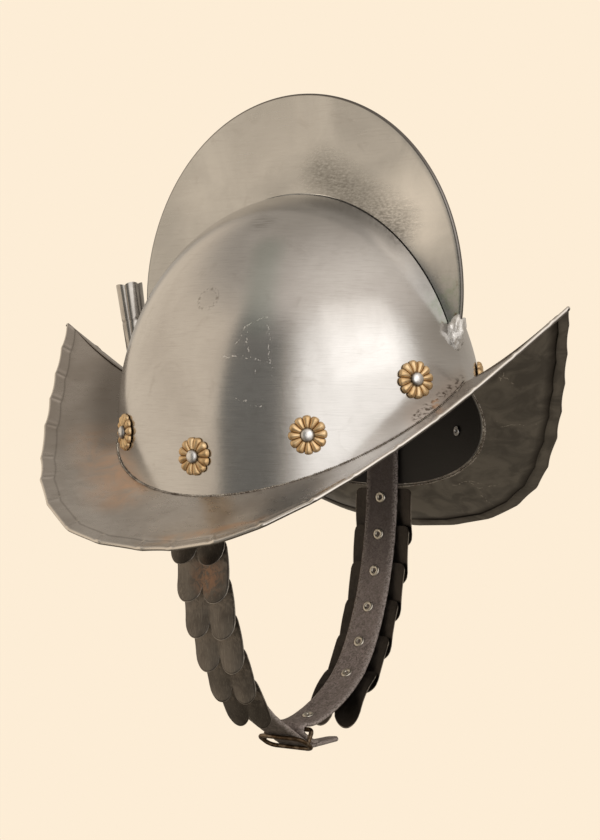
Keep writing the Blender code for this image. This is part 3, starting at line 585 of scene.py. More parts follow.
def on_frames(name, part, frames, material, tree):
    """Copy a part onto frames with the frames tree and drop the part."""
    mesh = bpy.data.meshes.new(name)
    mesh.from_pydata([tuple(place.translation) for place in frames], [], [])
    layer = mesh.attributes.new("turn", "FLOAT_VECTOR", "POINT")
    for entry, place in zip(layer.data, frames):
        entry.vector = place.to_euler("XYZ")
    item = grow(name, placed(name, mesh), tree, material, {"Part": part}, (part,))
    shade(item, SHARP_DEG)
    return item


# The helmet's forms

SETTLING_ROUNDS = 8
HALVING_ROUNDS = 40
LOWEST_COMB_FOOT_DEG = 60.0


class Bowl:
    """The bowl's surface, set in from its outside by a given amount."""

    def __init__(self, inset=0.0):
        self.length = SKULL_HALF_LENGTH - inset
        self.width = SKULL_HALF_WIDTH - inset
        self.height = SKULL_DOME_HEIGHT - inset
        self.wide = self.width + SKULL_CREASE_SHIFT
        self.crease = SKULL_CREASE_SHIFT / self.wide

    def place(self, unit, side):
        """A point on the surface from a direction on the unit ball; walls are upright at the foot."""
        spread = 1.0
        if unit.z < 0:
            spread = 1.0 / math.sqrt(1.0 - unit.z ** 2)
        x = max(self.wide * unit.x * spread - SKULL_CREASE_SHIFT, 0.0)
        return Vector((side * x, self.length * unit.y * spread, SKULL_DOME_START + self.height * unit.z))

    def base_unit(self, turn):
        """The direction of the lower edge at a turn from the front, 0 to pi."""
        lift = (BASE_SIDE_Z + BASE_RISE * (1.0 - math.sin(turn)) - SKULL_DOME_START) / self.height
        flat = math.sqrt(1.0 - lift ** 2)
        spread = flat if lift > 0 else 1.0
        out = self.crease + (1.0 - self.crease) * math.sin(turn)
        along = math.sqrt(max(spread ** 2 - out ** 2, 0.0))
        along = -along if turn < math.pi / 2 else along
        return Vector((out / spread * flat, along / spread * flat, lift))

    def crease_unit(self, share):
        """The direction of the crease, from the front foot over the top to the back foot."""
        round_part = math.sqrt(1.0 - self.crease ** 2)
        lift = (BASE_SIDE_Z + BASE_RISE - SKULL_DOME_START) / self.height
        foot = math.asin(lift / round_part)
        angle = foot + share * (math.pi - 2 * foot)
        return Vector((self.crease, -round_part * math.cos(angle), round_part * math.sin(angle)))

    def base_point(self, turn, side):
        return self.place(self.base_unit(turn), side)

    def side_place(self, turn_deg, above_base, side):
        """Point and outward normal on the side, a given height above the lower edge."""
        angle = math.radians(turn_deg)
        x = self.width
        for _ in range(SETTLING_ROUNDS):
            z = BASE_SIDE_Z + BASE_RISE * (1.0 - x / self.width) + above_base
            lift = (z - SKULL_DOME_START) / self.height
            spread = math.sqrt(1.0 - lift ** 2) if lift > 0 else 1.0
            x = self.wide * spread * math.sin(angle) - SKULL_CREASE_SHIFT
        y = -self.length * spread * math.cos(angle)
        slope = Vector((side * (x + SKULL_CREASE_SHIFT) / self.wide ** 2, y / self.length ** 2,
                        max(lift, 0.0) / self.height))
        return Vector((side * x, y, z)), slope.normalized()

    def crease_radius(self, angle, centre_z):
        """Distance from a point on the middle line to the crease, along an angle from the front."""
        reach = self.length * math.sqrt(1.0 - self.crease ** 2)
        rise = self.height * math.sqrt(1.0 - self.crease ** 2)
        dy, dz = math.cos(angle), math.sin(angle)
        offset = centre_z - SKULL_DOME_START
        a = (dy / reach) ** 2 + (dz / rise) ** 2
        b = 2 * offset * dz / rise ** 2
        c = (offset / rise) ** 2 - 1.0
        return (-b + math.sqrt(b * b - 4 * a * c)) / (2 * a)


def between(first, second, share):
    """Turn from one unit direction to another along the shortest way."""
    angle = first.angle(second)
    if angle < SAME_PLACE:
        return first.copy()
    return (first * math.sin((1 - share) * angle) + second * math.sin(share * angle)) / math.sin(angle)


def facing(point, normal, upward=Vector((0, 0, 1))):
    """A frame at a point whose Z runs along the normal and whose Y leans upward."""
    z = normal.normalized()
    x = upward.cross(z).normalized()
    y = z.cross(x)
    return Matrix.Translation(point) @ Matrix((x, y, z)).transposed().to_4x4()


SKULL_ALONG = 150
SKULL_ACROSS = 56
HAMMER_DEPTH = 0.00022
HAMMER_SIZE = 0.032


def hand_work(point, depth, size):
    """How far a hand-beaten sheet lies inside its true form at a point."""
    return depth * (0.5 + 0.5 * noise.noise(Vector(point) / size))


def make_skull(material):
    """Both half shells with their inner wall, finely meshed and slightly uneven."""
    points, faces = [], []

    def skin(bowl, uneven):
        rows = {}
        for i in range(SKULL_ALONG + 1):
            share = i / SKULL_ALONG
            top = bowl.crease_unit(share)
            low = bowl.base_unit(share * math.pi)
            for side in (1, -1):
                row = []
                for j in range(SKULL_ACROSS + 1):
                    unit = between(top, low, j / SKULL_ACROSS) if 0 < i < SKULL_ALONG else top
                    spot = bowl.place(unit, side)
                    if uneven:
                        spot -= (spot - Vector((0, 0, SKULL_DOME_START))).normalized() * hand_work(
                            spot, HAMMER_DEPTH, HAMMER_SIZE)
                    row.append(len(points))
                    points.append(spot)
                rows[side, i] = row
        for side in (1, -1):
            for i in range(SKULL_ALONG):
                first, second = rows[side, i], rows[side, i + 1]
                for j in range(SKULL_ACROSS):
                    faces.append((first[j], first[j + 1], second[j + 1], second[j]))
        return rows

    outer = skin(Bowl(), True)
    outside = len(points)
    inner = skin(Bowl(SKULL_WALL), False)
    for side in (1, -1):
        for i in range(SKULL_ALONG):
            faces.append((outer[side, i][-1], outer[side, i + 1][-1],
                          inner[side, i + 1][-1], inner[side, i][-1]))
    item = mesh_object("bowl", points, faces, material)
    store(item, "inner", [0.0] * outside + [1.0] * (len(points) - outside))
    return tidy_faces(item, SHARP_DEG)


def comb_foot_angle(bowl):
    """The angle below level at which the crescent has narrowed to its foot."""
    low, high = -math.radians(LOWEST_COMB_FOOT_DEG), 0.0
    for _ in range(HALVING_ROUNDS):
        middle = (low + high) / 2
        width = comb_edge_radius(bowl, middle) - bowl.crease_radius(middle, COMB_CENTRE_Z) - GAP
        if width < COMB_FOOT_WIDTH:
            low = middle
        else:
            high = middle
    return high


def comb_edge_radius(bowl, angle):
    reach = bowl.length - COMB_BEHIND_BOWL_FRONT
    height = bowl.crease_radius(math.pi / 2, COMB_CENTRE_Z) + COMB_ABOVE_BOWL
    return 1.0 / math.hypot(math.cos(angle) / reach, math.sin(angle) / height)


COMB_ALONG = 220
COMB_ACROSS = 14
COMB_WAVE = 0.00035
COMB_WAVE_SIZE = 0.045
COMB_TAPER_POWER = 0.6
COMB_EDGE_TURNS_DEG = range(20, 91, 14)


def make_comb(material):
    """A crescent plate that thickens to its root, with a rounded edge and a slight wave."""
    bowl = Bowl()
    foot = comb_foot_angle(bowl)
    rings = []
    for i in range(COMB_ALONG + 1):
        angle = foot + (math.pi - 2 * foot) * i / COMB_ALONG
        edge = comb_edge_radius(bowl, angle)
        root = bowl.crease_radius(angle, COMB_CENTRE_Z) + GAP / 2
        half_edge, half_root = COMB_EDGE_THICKNESS / 2, COMB_ROOT_THICKNESS / 2
        straight = edge - half_edge
        side = [(half_root + (half_edge - half_root) * (j / COMB_ACROSS) ** COMB_TAPER_POWER,
                 root + (straight - root) * j / COMB_ACROSS) for j in range(COMB_ACROSS + 1)]
        cap = [(half_edge * math.cos(turn), straight + half_edge * math.sin(turn))
               for turn in map(math.radians, COMB_EDGE_TURNS_DEG)]
        half = side + cap
        outline = half + [(-x, radius) for x, radius in reversed(half[:-1])]
        ring = []
        for x, radius in outline:
            y, z = -radius * math.cos(angle), COMB_CENTRE_Z + radius * math.sin(angle)
            share = (radius - root) / (edge - root)
            wave = COMB_WAVE * share * noise.noise(Vector((y, z, 0.0)) / COMB_WAVE_SIZE)
            ring.append(Vector((x + wave, y, z)))
        rings.append(ring)
    rim = [0.0] * len(side) + [1.0] * (2 * len(cap) - 1) + [0.0] * len(side)
    return lofted("comb_plate", rings, material, attributes={"rim": [rim] * len(rings)})


def smooth_table(values, position, end_even):
    """Read a table at a fractional row as a smooth curve, level at its end or running on."""
    last = len(values) - 1
    beyond = values[last - 1] if end_even else 2 * values[last] - values[last - 1]
    padded = [2 * values[0] - values[1], *values, beyond]
    row = min(int(position), last - 1)
    t = position - row
    a, b, c, d = padded[row:row + 4]
    bend = (2 * a - 5 * b + 4 * c - d) * t * t + (3 * b - a - 3 * c + d) * t ** 3
    return 0.5 * (2 * b + (c - a) * t + bend)


def brim_edge(turn, side):
    """Outermost point of the brim at a turn from the front, 0 to pi."""
    quarter = turn if turn <= math.pi / 2 else math.pi - turn
    position = math.degrees(quarter) / EDGE_ROW_DEG
    along = smooth_table(EDGE_ALONG, position, False)
    out = smooth_table(EDGE_OUT, position, True)
    rise = smooth_table(EDGE_RISE, position, True)
    low = BASE_SIDE_Z - BRIM_SIDE_DROP
    y = -BRIM_HALF_LENGTH * along if turn <= math.pi / 2 else BRIM_HALF_LENGTH * along
    return Vector((side * BRIM_HALF_WIDTH * out, y, low + (BRIM_TIP_Z - low) * rise))


TANGENT_STEP_DEG = 1.0
FINE_WALK = 1800


def brim_frame(bowl, side, turn):
    """Inner point, way outward, way up and width of the brim's section."""
    step = math.radians(TANGENT_STEP_DEG)
    inner = bowl.base_point(turn, side)
    edge = brim_edge(turn, side)
    if turn in (0.0, math.pi):
        tangent = Vector((1.0, 0.0, 0.0))
    else:
        low, high = max(turn - step, 0.0), min(turn + step, math.pi)
        tangent = brim_edge(high, side) - brim_edge(low, side)
        tangent += bowl.base_point(high, side) - bowl.base_point(low, side)
    outward = edge - inner
    up = tangent.cross(outward).normalized()
    if up.z < 0:
        up = -up
    return inner, outward.normalized(), up, outward.length


def round_walk(steps):
    """Side and turn of spots once round the helmet, with so many steps on each side."""
    return ([(-1, math.pi * i / steps) for i in range(steps)]
            + [(1, math.pi * (1 - i / steps)) for i in range(steps)])


def even_turns():
    """Side, turn and distance along the edge of sections spaced evenly round the brim."""
    walk = round_walk(FINE_WALK)
    spots = [brim_edge(turn, side) for side, turn in walk]
    total = sum((a - b).length for a, b in zip(spots, spots[1:] + spots[:1]))
    count = round(total / BRIM_STEP)
    result, travelled, wanted = [], 0.0, 0
    for (side, turn), spot, after in zip(walk, spots, spots[1:] + spots[:1]):
        if travelled >= wanted * total / count:
            result.append((side, turn, travelled))
            wanted += 1
        travelled += (after - spot).length
    return result, total


def crease_places(total):
    """Where the hem was nipped, as distances along the edge."""
    spread = random.Random(CREASE_SEED)
    count = round(total / CREASE_SPACING)
    return [(i + 0.5) * total / count + spread.uniform(-CREASE_JITTER, CREASE_JITTER) for i in range(count)]


BRIM_SHARP_DEG = 45.0
TOP_ROWS = 14
HEM_ROWS = 9
ROLL_ROWS = 8
UNDER_ROWS = 8
HEM_SHOULDER = 0.001
HEM_SHOULDER_RUN = 0.0016
HOLLOW_SHARE = 0.6
HOLLOW_OFFSET = 2.4
HOLLOW_WIDTH = 1.4
FOLD_FLAT = 0.003
FOLD_ROUND = 0.0004
FOLD_RISE = 0.0005
FOLD_LIP = 0.0001
SEAM_HEIGHT = 0.0002
SEAM_WIDTH = 0.0006
SEAM_FADE = 0.3
BRIM_HAMMER_DEPTH = 0.0004
BRIM_HAMMER_SIZE = 0.05
BRIM_HAMMER_FULL_FROM = 0.02


def brim_section(bowl, side, turn, distance, creases, total):
    """A section through the sheet, its rolled edge and the hem folded under it."""
    inner, across, up, width = brim_frame(bowl, side, turn)
    level = Vector((across.x, across.y, 0.0)).normalized()
    clear = GAP / across.dot(level)
    gaps = [((distance - place + total / 2) % total) - total / 2 for place in creases]
    nearest = min(gaps, key=abs)
    following = min(gap % total for gap in gaps)
    passed = min((-gap) % total for gap in gaps)
    share = passed / (passed + following) if passed + following else 0.0
    width -= CREASE_CHORD * 4 * share * (1 - share)
    roll = HEM_THICKNESS / 2
    band_from = width - HEM_WIDTH - HEM_SHOULDER

    def dish(far):
        part = far / width
        return -BRIM_DISH * 4 * part * (1 - part)

    def band(far):
        into = min(max((far - band_from) / HEM_SHOULDER_RUN, 0.0), 1.0)
        fade = 1.0 - max((far - (width - roll)) / roll, 0.0)
        lane = (nearest - CREASE_SLANT * (width - far)) / CREASE_HALF_WIDTH
        ridge = math.exp(-lane ** 2)
        hollow = math.exp(-((lane - HOLLOW_OFFSET) / HOLLOW_WIDTH) ** 2)
        return into * fade * (CREASE_RIDGE * (ridge - HOLLOW_SHARE * hollow) - HEM_BAND_DIP)

    # Each row of the outline: how far out, how high, how far under the edge, and the line where the hem
    # ends, which carries a painted shadow
    outline = []
    for k in range(TOP_ROWS + 1):
        far = clear + (band_from - clear) * k / TOP_ROWS
        outline.append((far, dish(far), 0.0, 0.0))
    for k in range(1, HEM_ROWS + 1):
        far = band_from + (width - roll - band_from) * k / HEM_ROWS
        outline.append((far, dish(far) + band(far), 0.0, 1.0 if k == 1 else 0.0))
    start_high = outline[-1][1]
    for k in range(1, ROLL_ROWS):
        turned = k / ROLL_ROWS
        high = -roll + roll * math.cos(math.pi * turned) + start_high * (1 - turned)
        outline.append((width - roll + roll * math.sin(math.pi * turned), high, turned, 0.0))
    fold = width - HEM_WIDTH
    seam = dish(fold) - BRIM_SHEET + SEAM_HEIGHT
    outline += [(width - roll, -HEM_THICKNESS, 1.0, 0.0),
                (fold + FOLD_FLAT, -HEM_THICKNESS - FOLD_LIP, 1.0, 0.0),
                (fold + FOLD_ROUND, -HEM_THICKNESS + FOLD_LIP, 1.0, SEAM_FADE),
                (fold, -HEM_THICKNESS + FOLD_RISE, 1.0, 1.0),
                (fold, seam, 1.0, 1.0),
                (fold - SEAM_WIDTH, seam, 1.0, 1.0)]
    under_from = fold - 2 * SEAM_WIDTH
    for k in range(1, UNDER_ROWS + 1):
        far = under_from + (clear - under_from) * k / UNDER_ROWS
        outline.append((far, dish(far) - BRIM_SHEET, 1.0, 0.0))
    points = []
    for far, high, _, _ in outline:
        spot = inner + across * far
        dent = hand_work(spot, BRIM_HAMMER_DEPTH, BRIM_HAMMER_SIZE) * min(far / BRIM_HAMMER_FULL_FROM, 1.0)
        points.append(spot + up * (high - dent))
    return points, [below for _, _, below, _ in outline], [line for _, _, _, line in outline]


def make_brim(material):
    bowl = Bowl()
    stations, total = even_turns()
    creases = crease_places(total)
    sections = [brim_section(bowl, *station, creases, total) for station in stations]
    rings, belows, lines = zip(*sections)
    return lofted("brim_plate", rings, material, True, BRIM_SHARP_DEG, {"under": belows, "line": lines})


def closed_path(name, points):
    curve = bpy.data.curves.new(name, "CURVE")
    curve.dimensions = "3D"
    spline = curve.splines.new("POLY")
    spline.points.add(len(points) - 1)
    for entry, point in zip(spline.points, points):
        entry.co = (*point, 1.0)
    spline.use_cyclic_u = True
    return placed(name, curve)


WELD_STEPS = 240
WELD_SPACING = 0.0012
WELD_SMALLEST_SHARE = 0.6
WELD_UNEVEN = 0.25
WELD_UNEVEN_SCALE = 1.7
# Name, height over the brim's inner edge, distance out from it, size of the largest drop and seed
WELDS = (
    ("weld_above", 0.0001, 0.0005, 0.00075, 5),
    ("weld_below", -BRIM_SHEET - 0.0002, 0.0006, 0.0009, 9),
)


def drop_form(unit):
    return unit * (1.0 + WELD_UNEVEN * noise.noise(unit * WELD_UNEVEN_SCALE))


def make_welds(material, tree):
    """Beads along the brim's joint, above and below."""
    bowl = Bowl()
    beads = []
    for label, rise, out, size, seed in WELDS:
        points = []
        for side, turn in round_walk(WELD_STEPS):
            inner, across, up, _ = brim_frame(bowl, side, turn)
            points.append(inner + across * out + up * rise)
        drop = lump("weld drop", 1, drop_form, material)
        values = {"Drop": drop, "Spacing": WELD_SPACING, "Smallest": size * WELD_SMALLEST_SHARE,
                  "Largest": size, "Seed": seed}
        beads.append(grow(label, closed_path(label, points), tree, material, values, (drop,)))
    return beads


def comb_foot_points():
    """The comb's front and back feet on the crease."""
    bowl = Bowl()
    foot = comb_foot_angle(bowl)
    for angle in (foot, math.pi - foot):
        radius = bowl.crease_radius(angle, COMB_CENTRE_Z)
        yield Vector((0.0, -radius * math.cos(angle), COMB_CENTRE_Z + radius * math.sin(angle))), angle


FOOT_WELD_HALF_WIDTH = 0.0060
FOOT_WELD_NARROWING = 0.0020
FOOT_WELD_HALF_LENGTH = 0.0115
FOOT_WELD_HALF_HEIGHT = 0.0052
FOOT_WELD_SHIFT = 0.001
FOOT_WELD_LUMPS = ((0.22, 2.3), (0.10, 6.0))


def make_foot_weld(name, point, angle, material):
    """A lump of bright weld that ties the comb's foot to the crease."""
    outward = Vector((0.0, -math.cos(angle), math.sin(angle)))
    along = Vector((0.0, outward.z, -outward.y))
    if along.z > 0:
        along = -along

    def form(unit):
        uneven = 1.0 + sum(depth * noise.noise(unit * scale) for depth, scale in FOOT_WELD_LUMPS)
        spot = Vector((unit.x * (FOOT_WELD_HALF_WIDTH - FOOT_WELD_NARROWING * unit.y), 0.0, 0.0))
        spot += along * (unit.y * FOOT_WELD_HALF_LENGTH - FOOT_WELD_SHIFT)
        spot += outward * unit.z * FOOT_WELD_HALF_HEIGHT
        return point + spot * uneven

    return lump(name, 4, form, material)


# Rosettes

PETAL_ROWS = 14
PETAL_COLUMNS = 12
PETAL_SIDE_SHARE = 0.865
PETAL_SEAT = 0.0002
PETAL_EDGE = 0.00045
PETAL_SWELL = 0.00185
PETAL_SWELL_LENGTH = 1.24
PETAL_SWELL_POWER = 0.7
PETAL_RIDGE = 0.00016
PETAL_RIDGE_WIDTH = 0.16
PETAL_TIP_FROM = 0.80
PETAL_TIP_SHARE = 0.35
PETAL_SHADE_FROM = 0.62
RIVET_SHADE_REACH = 0.0012
ROSETTE_SEED = 4
ROSETTE_SHARP_DEG = 60.0


def petal_mesh(material):
    """One rounded, ridged petal between the middle and the rim."""
    hole = RIVET_SHANK_RADIUS + GAP
    half_turn = math.pi / PETALS
    rows, columns = PETAL_ROWS, PETAL_COLUMNS
    top, low, painted_shade = [], [], []
    for i in range(rows + 1):
        share = i / rows
        swell = math.sin(math.pi * share / PETAL_SWELL_LENGTH) ** PETAL_SWELL_POWER
        end = math.sqrt(1.0 - (max(share - PETAL_TIP_FROM, 0.0) / (1.0 - PETAL_TIP_FROM)) ** 2)
        for j in range(columns + 1):
            across = 2.0 * j / columns - 1.0
            angle = across * half_turn
            arch = math.sqrt(1.0 - across ** 2)
            ridge = PETAL_RIDGE * math.exp(-(across / PETAL_RIDGE_WIDTH) ** 2)
            crest = PETAL_EDGE + swell * (PETAL_SWELL * arch + ridge)
            lobe = PETAL_SIDE_SHARE + (1.0 - PETAL_SIDE_SHARE) * arch
            radius = hole + (ROSETTE_RADIUS * lobe - hole) * share
            high = GAP + PETAL_SEAT + crest * (PETAL_TIP_SHARE + (1.0 - PETAL_TIP_SHARE) * end)
            top.append((radius * math.cos(angle), radius * math.sin(angle), high))
            low.append((radius * math.cos(angle), radius * math.sin(angle), GAP / 2))
            # painted shade: dark between the petals, round the rivet and on the petal's underside
            between_petals = max(abs(across) - PETAL_SHADE_FROM, 0.0) / (1.0 - PETAL_SHADE_FROM)
            near_rivet = max(1.0 - max(radius - RIVET_HEAD_RADIUS, 0.0) / RIVET_SHADE_REACH, 0.0)
            painted_shade.append(max(between_petals, near_rivet))
    count = len(top)
    wide = columns + 1
    faces = []
    for i in range(rows):
        for j in range(columns):
            a = i * wide + j
            faces.append((a, a + 1, a + wide + 1, a + wide))
            faces.append((count + a + wide, count + a + wide + 1, count + a + 1, count + a))
    rim = [rows * wide + j for j in range(wide)]
    for a, b in zip(rim, rim[1:]):
        faces.append((a, b, count + b, count + a))
    item = mesh_object("petal", top + low, faces, material)
    store(item, "painted_shade", painted_shade + [1.0] * count)
    return item


def rosette_frames():
    """Number, place and frame of each rosette, right side first, front to back."""
    bowl = Bowl()
    frames = []
    for side in (-1, 1):
        for place in ROSETTE_PLACES:
            point, normal = bowl.side_place(*place, side)
            frames.append((len(frames) + 1, place, facing(point, normal)))
    return frames


def make_rosettes(material, tree):
    turns = random.Random(ROSETTE_SEED)
    for number, _, place in rosette_frames():
        petal = petal_mesh(material)
        base = mesh_object("rosette base", [], [], material)
        item = grow(f"flower_{number}", base, tree, material, {"Petal": petal, "Petals": PETALS}, (petal,))
        item.data.transform(place @ Matrix.Rotation(turns.uniform(0, 2 * math.pi / PETALS), 4, "Z"))
        tidy_faces(item, ROSETTE_SHARP_DEG)
        dress(item, "gilt_brass", f"rosette_{number}")


DOME_STEPS = 9
DOME_POWER = 0.85
HEAD_UNDERCUT = 0.0004
HEAD_UNDERSIDE = 0.0006
FLARE_LIP = 0.0002
RIVET_BORE_SHARE = 0.62
RIVET_BORE_DEPTH = 0.002


def rivet_shape(name, back, material):
    """A domed head, a shank and a flared hollow end."""
    seat = ROSETTE_THICKNESS + 2 * GAP
    dome = [(0, seat + RIVET_HEAD_HEIGHT)]
    for k in range(1, DOME_STEPS):
        turn = math.pi / 2 * k / DOME_STEPS
        high = seat + RIVET_HEAD_HEIGHT * math.cos(turn) ** DOME_POWER
        dome.append((RIVET_HEAD_RADIUS * math.sin(turn), high))
    end = back - RIVET_FLARE_THICKNESS
    bore = RIVET_SHANK_RADIUS * RIVET_BORE_SHARE
    stem = [(RIVET_HEAD_RADIUS, seat), (RIVET_HEAD_RADIUS * 0.97, seat - HEAD_UNDERCUT),
            (RIVET_SHANK_RADIUS, seat - HEAD_UNDERSIDE), (RIVET_SHANK_RADIUS, back),
            (RIVET_FLARE_RADIUS * 0.9, back), (RIVET_FLARE_RADIUS, back - FLARE_LIP),
            (RIVET_FLARE_RADIUS * 0.95, end), (bore * 1.3, end), (bore, back - FLARE_LIP),
            (bore, back + RIVET_BORE_DEPTH), (0, back + RIVET_BORE_DEPTH)]
    # painted shade for each row: the rim and underside of the head, and the bore
    painted_shade = [0.0] * 5 + [0.15, 0.5, 0.85] + [1.0] * 4 + [0.5] + [0.0] * 4 + [1.0] * 3
    return turned_shape(name, dome + stem, painted_shade, material)


def make_rosette_rivets(material, tree):
    """The rivets in two lengths, the longer ones through the strap's leather."""
    for label, hangs in (("rivets_plain", False), ("rivets_strap", True)):
        back = -SKULL_WALL - GAP - FACET_SAG
        if hangs:
            back -= LEATHER_THICKNESS + GAP
        chosen = [(number, place) for number, spot, place in rosette_frames()
                  if (spot is STRAP_PLACE) == hangs]
        shape = rivet_shape("rivet shape", back, material)
        item = on_frames(label, shape, [place for _, place in chosen], material, tree)
        dress(item, "rivet_steel", *[f"rosette_rivet_{number}" for number, _ in chosen])


# Plume holder

HOLDER_SIDES = 120
HOLDER_STEPS = 60
HOLDER_INNER_STEPS = 6
HOLDER_SHARP_DEG = 50.0
VALLEY_POWER = 0.7
VALLEY_SHADE_POWER = 0.4
VALLEY_GAIN = 1.3
VALLEY_AT_FOOT = 0.45
GROOVE_DEPTH = 0.00045
GROOVE_WIDTH = 0.0006
TOP_WAVE = 0.0016
TOP_WAVE_FROM = 0.8


def valley(k, power):
    """1 in the bottom of a flute and 0 on a rib, at a numbered side of the tube."""
    angle = 2 * math.pi * k / HOLDER_SIDES - math.pi / 2
    return 1.0 - abs(math.cos(HOLDER_FLUTES * angle / 2)) ** power


def make_holder(material):
    lean = math.radians(HOLDER_LEAN_DEG)
    length = (HOLDER_TOP_Z - HOLDER_BOTTOM_Z) / math.cos(lean)
    bowl = Bowl()
    lift = (HOLDER_BOTTOM_Z - SKULL_DOME_START) / bowl.height
    wall_y = bowl.length * math.sqrt(1.0 - bowl.crease ** 2 - lift ** 2)
    foot = Vector((0, wall_y + GAP + HOLDER_BOTTOM_RADIUS / math.cos(lean), HOLDER_BOTTOM_Z))
    band = length * (1.0 - HOLDER_BAND_SHARE * 2)

    def ring(share, inset, wave):
        radius = HOLDER_BOTTOM_RADIUS + (HOLDER_TOP_RADIUS - HOLDER_BOTTOM_RADIUS) * share - inset
        depth = HOLDER_FLUTE_DEPTH * VALLEY_GAIN * (VALLEY_AT_FOOT + (1.0 - VALLEY_AT_FOOT) * share)
        points = []
        for k in range(HOLDER_SIDES):
            angle = 2 * math.pi * k / HOLDER_SIDES
            low = valley(k, VALLEY_POWER)
            reach = radius - depth * low
            high = length * share - wave * low
            points.append(Vector((reach * math.cos(angle), reach * math.sin(angle), high)))
        return points

    # painted shade in the flutes, in the groove and inside the tube
    hollow = [valley(k, VALLEY_SHADE_POWER) for k in range(HOLDER_SIDES)]
    rings, painted_shade = [], []
    for i in range(HOLDER_STEPS + 1):
        share = i / HOLDER_STEPS
        groove = math.exp(-((length * share - band) / GROOVE_WIDTH) ** 2)
        wave = TOP_WAVE * max(share - TOP_WAVE_FROM, 0.0) / (1.0 - TOP_WAVE_FROM)
        rings.append(ring(share, GROOVE_DEPTH * groove, wave))
        painted_shade.append([max(low, groove) for low in hollow])
    rings.append(ring(1.0, HOLDER_WALL, TOP_WAVE))
    rings += [ring(1.0 - i / HOLDER_INNER_STEPS, HOLDER_WALL, 0.0) for i in range(1, HOLDER_INNER_STEPS + 1)]
    painted_shade += [[1.0] * HOLDER_SIDES] * (HOLDER_INNER_STEPS + 1)
    item = lofted("plume_tube", rings, material, True, HOLDER_SHARP_DEG, {"painted_shade": painted_shade})
    item.data.transform(Matrix.Translation(foot) @ Matrix.Rotation(-lean, 4, "X"))
    return item


# Chin strap

def strap_rivet_z():
    return Bowl().side_place(*STRAP_PLACE, 1)[0].z


def loop_plane_y():
    return Bowl().side_place(*STRAP_PLACE, 1)[0].y


STRAP_STEPS = 22
MERGE_STEPS = 7
FOLD_STEPS = 6
SMOOTHING_ROUNDS = 6


def hanging_points(side):
    """Middle of the leather from its top down to the bottom of the loop, as world (x, z)."""
    half_width = SKULL_HALF_WIDTH - SKULL_WALL - GAP - FACET_SAG - LEATHER_THICKNESS / 2
    start_z = strap_rivet_z() - STRAP_FLAT_BELOW_RIVET
    depth = start_z - LOOP_BOTTOM_Z
    points = [(side * half_width, strap_rivet_z() + STRAP_TOP_ABOVE_RIVET)]
    power = 2.0 / (RIGHT_LOOP_FULLNESS if side < 0 else LEFT_LOOP_FULLNESS)
    for i in range(STRAP_STEPS + 1):
        angle = math.pi / 2 * i / STRAP_STEPS
        out = max(math.cos(angle), 0.0) ** power
        down = math.sin(angle) ** power
        points.append((side * half_width * out - LOOP_SWAY * down ** 2, start_z - depth * down))
    return points


def tongue_points():
    """The right strap: the hanging run, straight through the buckle, then a tongue that levels out."""
    points = [spot for spot in hanging_points(-1) if spot[0] < TONGUE_STRAIGHT_FROM_X]
    (x0, z0), (x1, z1) = points[-2:]
    slope = (z1 - z0) / (x1 - x0)
    straight_to = BUCKLE_X + BUCKLE_LENGTH / 2
    points.append((straight_to, z1 + slope * (straight_to - x1)))
    bend_from = points[-1]
    for i in range(1, TONGUE_STEPS + 1):
        share = i / TONGUE_STEPS
        level = 1.0 - (1.0 - min(share * TONGUE_END_X / TONGUE_BEND, 1.0)) ** 2
        points.append((bend_from[0] + (TONGUE_END_X - bend_from[0]) * share,
                       bend_from[1] + slope * TONGUE_BEND / 2 * level))
    return points


def along_path(points, distance):
    """Point and unit direction at a distance along a run of (x, z) points."""
    for (x0, z0), (x1, z1) in zip(points, points[1:]):
        length = math.hypot(x1 - x0, z1 - z0)
        if distance <= length:
            share = distance / length
            return (x0 + (x1 - x0) * share, z0 + (z1 - z0) * share), ((x1 - x0) / length, (z1 - z0) / length)
        distance -= length
    return points[-1], ((x1 - x0) / length, (z1 - z0) / length)


def path_distance(points, z):
    """Distance along a falling run of points at which it reaches a height."""
    total = 0.0
    for (x0, z0), (x1, z1) in zip(points, points[1:]):
        length = math.hypot(x1 - x0, z1 - z0)
        if z1 <= z:
            return total + length * (z0 - z) / (z0 - z1)
        total += length
    return total


def bar_inset():
    return LEATHER_THICKNESS * 1.5 + GAP + FOLD_CLEARANCE + BUCKLE_WIRE_RADIUS


def buckle_place():
    """The buckle's middle on the tongue, the way along the strap and the way outward."""
    points = tongue_points()
    for (x0, z0), (x1, z1) in zip(points, points[1:]):
        if x0 <= BUCKLE_X <= x1:
            break
    along = Vector((x1 - x0, 0.0, z1 - z0)).normalized()
    outward = Vector((0, 1, 0)).cross(along)
    if outward.z > 0:
        outward = -outward
    z = z0 + (z1 - z0) * (BUCKLE_X - x0) / (x1 - x0)
    return Vector((BUCKLE_X, loop_plane_y(), z)), along, outward


